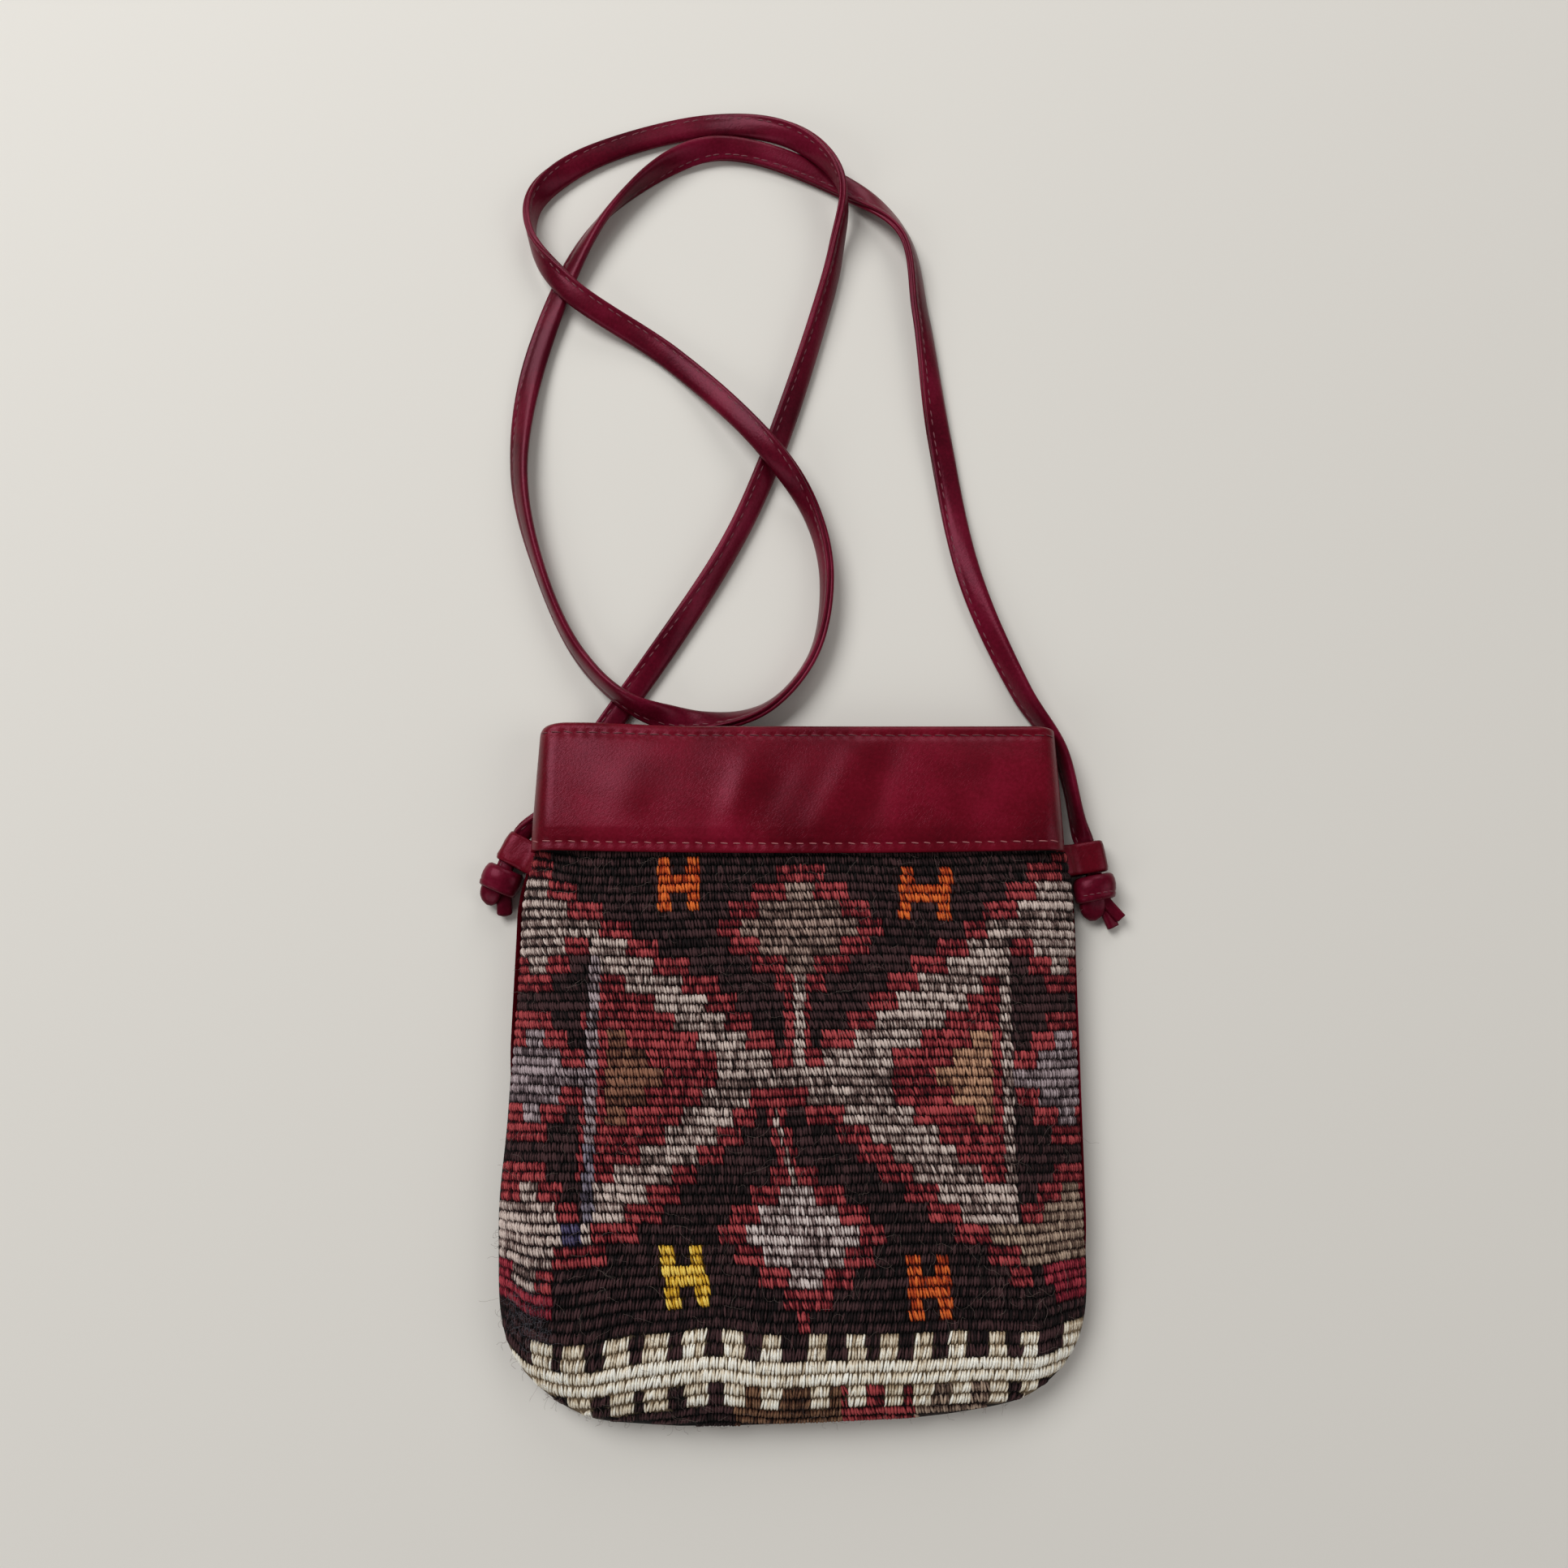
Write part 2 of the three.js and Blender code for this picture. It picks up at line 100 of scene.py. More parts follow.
def join(parts):
    points, faces, start = [], [], 0
    for part_points, part_faces in parts:
        points.append(part_points)
        faces += [[i + start for i in face] for face in part_faces]
        start += len(part_points)
    return np.vstack(points), faces


def xyz(x, y, z):
    return np.stack(np.broadcast_arrays(x, y, z), axis=-1)


def make_piece(name, points, faces, material, slot, node):
    mesh = bpy.data.meshes.new(name)
    mesh.from_pydata((np.asarray(points) * MM).tolist(), [], faces)
    mesh.shade_smooth()
    mesh.materials.append(material)
    piece = bpy.data.objects.new(name, mesh)
    scene.collection.objects.link(piece)
    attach(piece, "root")
    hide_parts(node)
    print(f"{name}: {len(mesh.vertices)} points, {len(mesh.polygons)} faces")
    return piece


# %% [markdown]
# ## Helpers for materials
# Colours are named as screen values from 0 to 255 and changed to linear light. Every material
# is made of noise and ramps, at the size of the real grain or fibre in millimetres.

# %% Make materials from nodes
def paint(red, green, blue):
    parts = [value / 255 for value in (red, green, blue)]
    linear = [p / 12.92 if p <= 0.04045 else ((p + 0.055) / 1.055) ** 2.4 for p in parts]
    return (*linear, 1.0)


def tones(places, *colours):
    return [(place, paint(*colour)) for place, colour in zip(places, colours)]


def grey(value):
    return (value, value, value, 1.0)


def set_inputs(tree, node, values):
    """Sets a node's inputs, and links those whose value is another node's output."""
    for key, value in values.items():
        socket = node.inputs[key.replace("_", " ") if isinstance(key, str) else key]
        if isinstance(value, bpy.types.NodeSocket):
            tree.links.new(value, socket)
        else:
            socket.default_value = value


def new_material(name, roughness, **values):
    material = bpy.data.materials.new(name)
    material.use_nodes = True
    tree = material.node_tree
    shader = tree.nodes["Principled BSDF"]
    set_inputs(tree, shader, {"Roughness": roughness, **values})
    return material, tree, shader


def add_node(tree, kind, **values):
    node = tree.nodes.new("ShaderNode" + kind)
    set_inputs(tree, node, values)
    return node


def add_attribute(tree, name, output):
    node = add_node(tree, "Attribute")
    node.attribute_name = name
    return node.outputs[output]


def add_place(tree, longer, turn):
    """Coordinates in which a texture is longer along one direction, turned in the bag's plane."""
    place = add_node(tree, "TexCoord").outputs["Object"]
    turned = (0, 0, math.radians(turn))
    mapping = add_node(tree, "Mapping", Vector=place, Scale=longer, Rotation=turned)
    mapping.vector_type = "TEXTURE"
    return mapping.outputs["Vector"]


def add_noise(tree, size, longer=(1, 1, 1), turn=0.0, detail=3.0):
    place = add_place(tree, longer, turn)
    noise = add_node(tree, "TexNoise", Vector=place, Scale=1 / (size * MM), Detail=detail)
    return noise.outputs["Fac"]


def add_cells(tree, size, longer, turn):
    cells = add_node(tree, "TexVoronoi", Vector=add_place(tree, longer, turn), Scale=1 / (size * MM))
    cells.feature = "SMOOTH_F1"
    return cells.outputs["Distance"]


def add_math(tree, operation, *inputs):
    node = add_node(tree, "Math")
    node.operation = operation
    set_inputs(tree, node, dict(enumerate(inputs)))
    return node.outputs[0]


def add_mix(tree, *shares, start=0.0):
    total = start
    for socket, share in shares:
        total = add_math(tree, "MULTIPLY_ADD", socket, share, total)
    return total


def add_ramp(tree, factor, stops):
    node = add_node(tree, "ValToRGB", Fac=factor)
    while len(node.color_ramp.elements) < len(stops):
        node.color_ramp.elements.new(0.5)
    for element, (position, colour) in zip(node.color_ramp.elements, stops):
        element.position = position
        element.color = colour
    return node.outputs["Color"]


def add_bump(tree, height, depth, strength=1.0, **below):
    node = add_node(tree, "Bump", Height=height, Strength=strength, Distance=depth * MM, **below)
    return node.outputs["Normal"]


# %% [markdown]
# Leather is cloudy, with a fine grain of cells. Slanting creases show where it is worn. Wool takes its
# light and dark from each stroke's own tone, from painted light that makes each stroke lighter at its
# crown and upper end, and from fine fibres along the stroke.

# %% Mix leather and wool
LEATHERS = {
    # dark, middle and light colour, shine, roughness, depth of the creases
    "strap_leather": ((64, 4, 18), (88, 9, 29), (108, 18, 43), 0.24, 0.3, 0.01),
    "bag_leather": ((74, 4, 14), (93, 7, 22), (114, 14, 35), 0.3, 0.32, 0.021),
}
LEATHER_TINT = paint(255, 146, 178)
CREASE_TURN = -42


def make_leather(name, dark, middle, light, shine, roughness, crease_depth):
    material, tree, shader = new_material(
        name, roughness, Specular_IOR_Level=shine, Specular_Tint=LEATHER_TINT
    )
    cloud = add_noise(tree, size=26, detail=2)
    fine = add_noise(tree, size=1.1, detail=2)
    tone = add_mix(tree, (cloud, 0.75), (fine, 0.25))
    colour = add_ramp(tree, tone, tones((0.36, 0.52, 0.68), dark, middle, light))
    wander = add_noise(tree, size=1.0, longer=(1, 3.0, 1), turn=CREASE_TURN, detail=2)
    lines = add_ramp(tree, wander, [(0.46, grey(0)), (0.5, grey(1)), (0.54, grey(0))])
    worn = add_ramp(tree, add_noise(tree, size=15, detail=2), [(0.38, grey(0.15)), (0.62, grey(1))])
    creases = add_bump(tree, add_math(tree, "MULTIPLY", lines, worn), -crease_depth)
    grain = add_cells(tree, size=0.55, longer=(1, 1.6, 1), turn=CREASE_TURN)
    normal = add_bump(tree, grain, 0.05, strength=0.6, Normal=creases)
    set_inputs(tree, shader, {"Base_Color": colour, "Normal": normal})
    return material


def make_wool(name, dark, middle, light):
    material, tree, shader = new_material(name, 0.9, Specular_IOR_Level=0.25)
    fibre = add_noise(tree, size=0.2, longer=(1, 6, 2), turn=14, detail=3)
    # the tone attribute holds each stroke's own tone plus painted light, lighter at its crown and upper
    # end
    mixed = add_mix(tree, (add_attribute(tree, "tone", "Fac"), 0.8), (fibre, 1.0), start=-0.24)
    colour = add_ramp(tree, mixed, tones((0.3, 0.62, 0.95), dark, middle, light))
    set_inputs(tree, shader, {"Base_Color": colour, "Normal": add_bump(tree, fibre, 0.4)})
    return material


def make_thread(name, *colour):
    return new_material(name, 0.6, Base_Color=paint(*colour))[0]


strap_leather, bag_leather = [make_leather(name, *finish) for name, finish in LEATHERS.items()]
print("leathers:", strap_leather.name, bag_leather.name)

# %% [markdown]
# ## Grains
# A stitch and a wool stroke have the same body: a small grain, long, rounded and slightly arched.
# One grain, of four rings of six points and two tips, is laid at every place that needs one.

# %% Make many grains at once
GRAIN_RINGS = np.array([-0.84, -0.32, 0.32, 0.84])
GRAIN_ANGLES = np.radians([0, 45, 90, 135, 180, 270])
GRAIN_BLUNTNESS = 0.45


def unit(vectors):
    return vectors / np.linalg.norm(vectors, axis=-1, keepdims=True)


def grains(centre, along, up, half_width, half_length, half_height, arch):
    across = unit(np.cross(along, up))
    girth = (1 - GRAIN_RINGS**2) ** GRAIN_BLUNTNESS
    side = np.append((girth[:, None] * np.cos(GRAIN_ANGLES)).ravel(), [0, 0])
    rise = np.append((girth[:, None] * np.sin(GRAIN_ANGLES)).ravel(), [0, 0])
    run = np.append(np.repeat(GRAIN_RINGS, len(GRAIN_ANGLES)), [-1, 1])
    size = [np.broadcast_to(v, len(centre))[:, None] for v in (half_width, half_length, half_height)]
    points = centre[:, None, :] + (size[0] * side)[..., None] * across[:, None, :]
    points = points + (size[1] * run)[..., None] * along[:, None, :]
    points = points + (size[2] * rise - arch * run**2)[..., None] * up[:, None, :]
    rings, turn = len(GRAIN_RINGS), len(GRAIN_ANGLES)
    first, last, tail = len(run) - 2, len(run) - 1, turn * (rings - 1)
    tips = [[first, k, (k + 1) % turn] for k in range(turn)]
    tips += [[last, tail + (k + 1) % turn, tail + k] for k in range(turn)]
    body = grid_faces(rings, turn, close_columns=True)
    template = turned_out(points[0] - points[0].mean(axis=0), body + tips)
    start = np.arange(len(centre))[:, None, None] * len(run)
    faces = []
    for count in (3, 4):
        group = np.array([face for face in template if len(face) == count])
        faces += (group[None] + start).reshape(-1, count).tolist()
    return points.reshape(-1, 3), faces


# %% [markdown]
# ## The strap
# The strap is one strip of leather, folded lengthwise and sewn along its open edge. It runs from the
# left knot to the right one in two loops, and lies flat, tilted or on its edge as it turns. Each
# point of its route has the strap's tilt in degrees: at 0 and 180 it lies flat, at 90 it stands on
# edge. The route is the one that the CAD strap follows.

# %% List the strap's route and tilt
STRAP_ROUTE = np.array([
    [-95.3, 55.2, 4.3, 0], [-93.0, 64.4, 4.3, 0], [-91.4, 70.4, 4.1, -38],
    [-82.0, 78.8, 1.9, -40], [-62.0, 107.3, 1.8, -8], [-25.3, 164.5, 2.6, -48],
    [-10.8, 197.2, 1.8, -35], [7.0, 252.1, 3.2, -52], [14.2, 281.0, 4.8, -63],
    [15.9, 306.0, 7.8, -90], [-1.5, 327.4, 5.0, -135], [-33.0, 334.0, 1.9, -172],
    [-79.6, 318.2, 2.6, -160], [-95.0, 301.0, 4.4, -115], [-94.8, 284.0, 5.2, -84],
    [-81.4, 264.6, 6.5, -25], [-43.8, 239.2, 2.0, -22], [-11.0, 204.8, 6.3, -25],
    [4.6, 180.2, 4.4, -60], [9.6, 156.5, 4.4, -70], [4.8, 129.0, 4.4, -78],
    [-10.8, 111.5, 3.6, -66], [-33.0, 107.4, 2.2, -24], [-54.0, 111.8, 6.9, 58],
    [-72.4, 129.0, 4.6, 72], [-87.4, 159.4, 3.2, 70], [-96.6, 198.0, 1.9, 45],
    [-91.0, 245.2, 1.8, 10], [-67.0, 300.8, 1.9, 66], [-31.0, 325.0, 2.0, 150],
    [18.4, 308.3, 1.8, 180], [38.4, 289.2, 2.4, 240], [44.3, 257.0, 2.2, 226],
    [49.7, 209.2, 1.9, 192], [58.5, 158.7, 1.9, 160], [74.9, 117.5, 1.8, 120],
    [86.6, 97.5, 1.8, 102], [91.2, 71.6, 4.1, 116], [93.0, 64.4, 4.3, 175],
    [95.3, 55.2, 4.3, 180],
])
STRAP_WIDTH, STRAP_THICKNESS = 9.0, 3.0
WORN_WIDTH = 0.91
print("points on the route:", len(STRAP_ROUTE))

# %% [markdown]
# The line between the points is a curve that passes through all of them, the same kind that the CAD
# part uses. It is cut into equal steps. A tilted strap is raised enough to stay above the floor, and
# it is lifted where it crosses itself. What is raised is also moved in a little, so that from the
# camera it still lies on its line. Near the left loop the strap is drawn towards the bag. Each step
# gets a frame: `along` the strap, `across` it and `over` its face, turned by the tilt.

# %% Follow the route
STRAP_STEP, FLOOR_GAP, SMOOTH_STEPS = 1.6, 0.15, 6
# the height of each lift, by the number of the route's point
LIFT_OVER_ITSELF = {9: 1.8, 10: 1.8, 15: 1.2, 17: 3.4, 23: 2.4}
# how far the strap is drawn in, at which step and over how many steps
DRAWN_IN = (4.0, 13, 6)


def swell(value, amount, middle, run):
    """A soft hump of that amount at the middle, gone about two runs away from it."""
    return amount * np.exp(-(((value - middle) / run) ** 2))


def curve_through(points, spans=40):
    padded = np.vstack([2 * points[0] - points[1], points, 2 * points[-1] - points[-2]])
    gap = np.sqrt(np.linalg.norm(np.diff(padded[:, :3], axis=0), axis=1))[:, None]
    before, within, after = gap[:-2], gap[1:-1], gap[2:]
    a, b, c, d = padded[:-3], padded[1:-2], padded[2:-1], padded[3:]
    leave = (b - a) / before - (c - a) / (before + within) + (c - b) / within
    arrive = (c - b) / within - (d - b) / (within + after) + (d - c) / after
    leave, arrive = leave * within, arrive * within
    t = np.linspace(0, 1, spans, endpoint=False)[None, :, None]
    square = -3 * b + 3 * c - 2 * leave - arrive
    cube = 2 * b - 2 * c + leave + arrive
    parts = [v[:, None, :] for v in (b, leave, square, cube)]
    curve = parts[0] + parts[1] * t + parts[2] * t**2 + parts[3] * t**3
    return np.vstack([curve.reshape(-1, points.shape[1]), points[-1]])


def even_steps(curve, step):
    run = np.append(0, np.cumsum(np.linalg.norm(np.diff(curve[:, :3], axis=0), axis=1)))
    places = np.linspace(0, run[-1], max(int(round(run[-1] / step)), 2) + 1)
    return np.stack([np.interp(places, run, column) for column in curve.T], axis=1), run[-1]


def ribbon_frames(line):
    along = unit(np.gradient(line[:, :3], axis=0))
    level = unit(np.cross(along, [0, 0, 1]))
    upright = np.cross(level, along)
    tilt = np.radians(line[:, 3:4])
    across = level * np.cos(tilt) + upright * np.sin(tilt)
    over = upright * np.cos(tilt) - level * np.sin(tilt)
    return along, across, over


strap_lift = [LIFT_OVER_ITSELF.get(point, 0.0) for point in range(len(STRAP_ROUTE))]
strap_curve = curve_through(np.column_stack([STRAP_ROUTE, strap_lift]))
strap_line, strap_length = even_steps(strap_curve, STRAP_STEP)
steps = np.arange(len(strap_line))
lean = np.radians(strap_line[:, 3])
rest_height = STRAP_THICKNESS * np.abs(np.cos(lean)) + STRAP_WIDTH * WORN_WIDTH * np.abs(np.sin(lean))
raised = np.maximum(rest_height / 2 + FLOOR_GAP - strap_line[:, 2], 0)
window = np.ones(2 * SMOOTH_STEPS + 1) / (2 * SMOOTH_STEPS + 1)
raised[SMOOTH_STEPS:-SMOOTH_STEPS] = np.convolve(raised, window, "valid")
raised += np.maximum(strap_line[:, 4], 0)
eye = np.array(camera.location) / MM
strap_line[:, :2] -= (strap_line[:, :2] - eye[:2]) * (raised / (eye[2] - strap_line[:, 2]))[:, None]
strap_line[:, 2] += raised
strap_line[:, 0] += swell(steps, *DRAWN_IN)
strap_along, strap_across, strap_over = ribbon_frames(strap_line)
print(f"strap: {strap_length / 1000:.3f} m in {len(strap_line)} steps")

# %% [markdown]
# The strip's section is thick at the fold and pinched at the seam, and its open edge shows two
# layers with a groove between them. Thread lies in the pinch on both faces.

# %% Sweep the strap
STRAP_SECTION_HALF = [
    (-4.5, 0.3), (-4.55, 0.95), (-4.3, 1.25), (-3.5, 1.32), (-2.6, 1.12), (-1.8, 1.38),
    (-0.4, 1.5), (1.6, 1.5), (3.0, 1.36), (4.0, 0.95), (4.42, 0.45),
]
STRAP_TIP, STRAP_GROOVE = 4.55, -3.75
SEAM_PLACE, SEAM_HALF_HEIGHT = -2.6, 1.12
STITCH_PITCH, STITCH_SLANT = 3.9, 0.07
# a stitch's half width, half length, half height and arch
STRAP_STITCH = (0.27, 1.4, 0.26, 0.12)
# how much narrower the strap is in its loops: share of the width, steps from the end, run in steps
LEFT_SQUEEZE, RIGHT_SQUEEZE = (0.36, 5, 8.0), (0.38, 0, 12.0)
WEAR, WEAR_RUNS = 0.02, (7.0, 23.0)


def folded_section(half, tip, groove):
    upper = list(half)
    lower = [(w, -n) for w, n in reversed(half)]
    return np.array([*upper, (tip, 0.0), *lower, (groove, 0.0)])


def sweep(centre, across, over, section, closed=False):
    section = np.broadcast_to(section, (len(centre), *np.shape(section)[-2:]))
    points = centre[:, None, :] + section[..., :1] * across[:, None, :]
    points = points + section[..., 1:] * over[:, None, :]
    rings, around = section.shape[:2]
    faces = grid_faces(rings, around, close_rows=closed, close_columns=True)
    if not closed:
        faces.append(list(range(around)))
        faces.append(list(range(rings * around - 1, (rings - 1) * around - 1, -1)))
    points = points.reshape(-1, 3)
    return points, turned_out(points, faces)


def seam_stitches(side):
    every = STITCH_PITCH / np.linalg.norm(np.diff(strap_line[:2, :3], axis=0))
    picks = np.round(np.arange(every, len(strap_line) - every, every)).astype(int)
    across, over = strap_across[picks], side * strap_over[picks]
    centre = strap_line[picks, :3] + (SEAM_PLACE * squeezed)[picks, None] * across
    slant = unit(strap_along[picks] + STITCH_SLANT * across)
    centre = centre + SEAM_HALF_HEIGHT * over
    return grains(centre, slant, over, *STRAP_STITCH)


wear = 1 + WEAR * np.sin(steps / WEAR_RUNS[0]) * np.sin(steps / WEAR_RUNS[1])
squeezed = WORN_WIDTH - swell(steps, *LEFT_SQUEEZE) - swell(len(steps) - steps, *RIGHT_SQUEEZE)
sections = folded_section(STRAP_SECTION_HALF, STRAP_TIP, STRAP_GROOVE) * wear[:, None, None]
sections[..., 0] *= squeezed[:, None]
strap_body = sweep(strap_line[:, :3], strap_across, strap_over, sections)
strap = make_piece("strap", *strap_body, strap_leather, "strap_leather", "shoulder_strap")
strap_cotton = make_thread("strap_thread", 104, 42, 54)
strap_thread = make_piece(
    "strap_thread", *join([seam_stitches(side) for side in (1, -1)]), strap_cotton,
    "sewing_thread", "shoulder_strap",
)

# %% [markdown]
# ## The knots
# Below each loop the strap is knotted, so that it can't slip out. A knot is a broad turn round the
# strap, a second turn that shows below it, and the strap's cut end. All three are the same folded
# leather, so they are swept like the strap itself.

# %% Tie the knots
TURN_SECTION = np.array([
    (-4.4, -0.7), (-4.7, 0.1), (-4.3, 0.95), (-3.0, 1.3), (-2.3, 1.2), (-1.5, 1.5), (0.5, 1.65),
    (2.4, 1.45), (3.9, 1.0), (4.5, 0.2), (4.2, -0.7), (0.0, -0.8),
])
END_SECTION = folded_section(
    [(-3.0, 0.3), (-3.05, 0.9), (-2.7, 1.2), (-1.6, 1.15), (0.2, 1.4), (1.8, 1.35), (2.7, 0.95)],
    tip=3.1, groove=-2.4,
)
TURN_HEIGHT, TURN_STEPS = 3.2, 48
KNOT_TURNS = {
    # centre, axis, half width, roll; share of the section's width and thickness
    "left": ((-95.3, 54.3, 5.0), (0.40, 0.915, 0.0), 5.1, 0.0, (0.86, 0.95)),
    "right": ((94.7, 51.6, 5.2), (-0.06, 1.0, 0.0), 5.3, 0.7, (0.88, 1.0)),
}
KNOT_ENDS = {
    # route with tilt, share of the section's width and thickness, share of the length that is rounded
    "left": [
        ([(-96.8, 55.2, 4.4, -12), (-98.4, 51.2, 4.3, -12), (-99.4, 46.4, 3.0, -14)], (1.25, 1.25), 0.5),
        ([(-95.0, 50.4, 3.0, 6), (-94.6, 46.6, 2.8, 6), (-94.4, 42.8, 2.2, 12)], (0.8, 0.9), 0.15),
    ],
    "right": [
        ([(93.6, 51.0, 4.2, 6), (93.8, 46.6, 4.2, 6), (94.1, 41.4, 3.0, 4)], (1.35, 1.25), 0.55),
        ([(96.6, 49.6, 3.8, -6), (100.0, 45.6, 3.6, -10), (103.2, 42.2, 3.0, -16)], (0.58, 0.92), 0.0),
        ([(96.4, 48.8, 2.6, 4), (98.8, 44.2, 2.3, 6), (100.9, 39.4, 1.7, 10)], (0.62, 0.86), 0.0),
    ],
}
END_STEP, LEAST_ROUNDED, MOST_ROUNDED = 0.5, 0.01, 0.97
# the angles of the turn's stitches, their place along its axis, their lift and their size
TURN_STITCH_ANGLES = np.radians(np.linspace(48, 132, 5))
TURN_SEAM, TURN_SEAM_LIFT, TURN_STITCH = -2.0, 1.25, (0.2, 0.85, 0.24, 0.1)


def turn_frames(angle, centre, axis, wide, roll):
    """Points round a turn of the strap, the turn's axis, and the way out of it at each point."""
    axis = unit(np.array(axis))
    level, up = np.array([axis[1], -axis[0], 0.0]), np.array([0.0, 0.0, 1.0])
    cosine, sine = np.cos(angle)[:, None], np.sin(angle)[:, None]
    points = centre + cosine * level * wide + sine * up * TURN_HEIGHT + cosine * axis * roll
    return points, axis, unit(cosine * level * TURN_HEIGHT + sine * up * wide)


def turn_ring(turn, share):
    angle = np.linspace(0, 2 * np.pi, TURN_STEPS, endpoint=False)
    points, axis, over = turn_frames(angle, *turn)
    return sweep(points, np.tile(axis, (TURN_STEPS, 1)), over, TURN_SECTION * share, closed=True)


def turn_stitches(turn):
    points, axis, over = turn_frames(TURN_STITCH_ANGLES, *turn)
    along = unit(np.cross(axis, over))
    points = points + TURN_SEAM * axis + TURN_SEAM_LIFT * over
    return grains(points, along, over, *TURN_STITCH)


def short_ribbon(route, share, rounded):
    line, _ = even_steps(curve_through(np.array(route, float), spans=12), END_STEP)
    _, across, over = ribbon_frames(line)
    ending = (np.linspace(0, 1, len(line)) - 1 + rounded) / max(rounded, LEAST_ROUNDED)
    ending = np.clip(ending, 0, MOST_ROUNDED)
    sections = np.tile(END_SECTION * share, (len(line), 1, 1))
    return sweep(line[:, :3], across, over, sections * np.sqrt(1 - ending**2)[:, None, None])


for side, (*turn, share) in KNOT_TURNS.items():
    ends = [short_ribbon(*end) for end in KNOT_ENDS[side]]
    body = join([turn_ring(turn, share), *ends])
    make_piece(f"{side}_knot", *body, strap_leather, "strap_leather", f"{side}_strap_knot")
knot_thread = make_piece(
    "knot_thread", *turn_stitches(KNOT_TURNS["right"][:4]), strap_cotton,
    "sewing_thread", "right_strap_knot",
)

# %% [markdown]
# ## The side loops
# A tab of leather is folded round the strap and sewn into the bag's side seam. Its section is swept
# round the strap: out over the top, round the outer edge and back underneath to the seam.

# %% Fold the side loops
LOOP_PATH = np.array([
    [-9.6, 9.3], [-8.2, 9.5], [-6.6, 9.0], [-5.0, 7.9], [-3.2, 7.25], [0.0, 7.15], [3.2, 7.05],
    [4.9, 6.5], [5.75, 5.2], [5.85, 3.9], [5.2, 2.4], [3.6, 1.55], [0.0, 1.4], [-3.4, 1.5],
    [-5.6, 2.6], [-6.6, 5.0], [-8.0, 7.3], [-9.6, 7.9],
])
TAB_SECTION = np.array([
    (-4.7, -0.55), (-5.0, 0.0), (-4.7, 0.5), (-3.6, 0.68), (-1.5, 0.7), (1.5, 0.7), (3.6, 0.68),
    (4.7, 0.5), (5.0, 0.0), (4.7, -0.55), (2.0, -0.6), (-2.0, -0.6),
])
LOOP_STEP = 0.45
WRINKLES_ALONG, WRINKLES_ROUND = 1.3, 0.9
LOOPS = {
    # middle, axis along the strap, height of the wrinkles
    "left": ((-89.6, 63.0, 4.3), (0.46, 0.888, 0.0), 0.16),
    "right": ((92.5, 61.2, 4.3), (-0.16, 0.987, 0.0), 0.05),
}


def side_loop(middle, axis, wrinkle):
    axis, up = unit(np.array(axis)), np.array([0.0, 0.0, 1.0])
    outward = np.array([axis[1], -axis[0], 0.0]) * np.sign(middle[0])
    flat = np.column_stack([LOOP_PATH, np.zeros((len(LOOP_PATH), 2))])
    line, _ = even_steps(curve_through(flat, spans=10), LOOP_STEP)
    slope = unit(np.gradient(line[:, :2], axis=0))
    centres = middle + line[:, :1] * outward + (line[:, 1:2] - middle[2]) * up
    over = -slope[:, 1:] * outward + slope[:, :1] * up
    section = np.tile(TAB_SECTION, (len(line), 1, 1))
    waves = np.sin(section[..., 0] * WRINKLES_ALONG + line[:, :1] * WRINKLES_ROUND)
    section[..., 1] += wrinkle * waves * (section[..., 1] > 0)
    return sweep(centres, np.tile(axis, (len(line), 1)), over, section)


for side, loop in LOOPS.items():
    make_piece(f"{side}_loop", *side_loop(*loop), bag_leather, "bag_leather", f"{side}_strap_loop")

# %% [markdown]
# ## The bag's surfaces
# The woven front and the leather back share one outline: straight sides that widen downwards and two
# round lower corners. The back is flat on the floor and turns up at its edge; the front swells from
# that seam to the bag's full depth. Both narrow to the neck under the mouth band.
# The ends, the heights and the greatest width come from the frame's solids; the rest are the part's
# own sizes.

# %% Describe the outline and the two panels
def frame_box(node):
    """A solid's lowest and highest corner in millimetres, to the tenth."""
    return np.round(np.array(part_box(node)) / MM, 1)


back_box, band_box = frame_box("leather_back_panel"), frame_box("leather_mouth_band")
BOTTOM, BAND_LOW, TOP = back_box[0, 1], band_box[0, 1], band_box[1, 1]
MOUTH_WIDTH, WIDEST_WIDTH = 168.0, 2 * back_box[1, 0]
CORNER_RISE, CORNER_POWER, FOOT_SHARE = 46.0, 3.2, 0.985
CORNER_START = BOTTOM + CORNER_RISE * FOOT_SHARE
LEATHER, KILIM, CLEARANCE = 1.4, 2.4, 0.3
SEAM_HEIGHT, BODY_DEPTH = back_box[1, 2], frame_box("kilim_front_panel")[1, 2]
BACK_ROLL, FRONT_ROLL, KILIM_INSET = 10.0, 24.0, 1.5
TUCK_TOP, TUCK_INSET = back_box[1, 1], 6.0
LIFT_RUN, NECK_RUN, BACK_TUCK_RUN, KILIM_TUCK_RUN = 24, 36, 6, 4
MOUTH_LIFT, NECK_TOP = band_box[:, 2]
RIM_DEPTH = 11.4
NECK_BACK = MOUTH_LIFT + LEATHER + CLEARANCE
NECK_KILIM = NECK_TOP - LEATHER - CLEARANCE - KILIM


def eased(value, start, run):
    t = np.clip((value - start) / run, 0, 1)
    return t * t * (3 - 2 * t)


def blend(low, high, share):
    return low + (high - low) * share


def half_width(y, inset=0.0):
    y = np.asarray(y, float)
    straight = blend(MOUTH_WIDTH, WIDEST_WIDTH, (TOP - y) / (TOP - CORNER_START)) / 2 - inset
    depth = np.clip((CORNER_START - y) / (CORNER_RISE - inset), 0, 1)
    corner = (WIDEST_WIDTH / 2 - inset) * (1 - depth**CORNER_POWER) ** (1 / CORNER_POWER)
    return np.where(y >= CORNER_START, straight, corner)


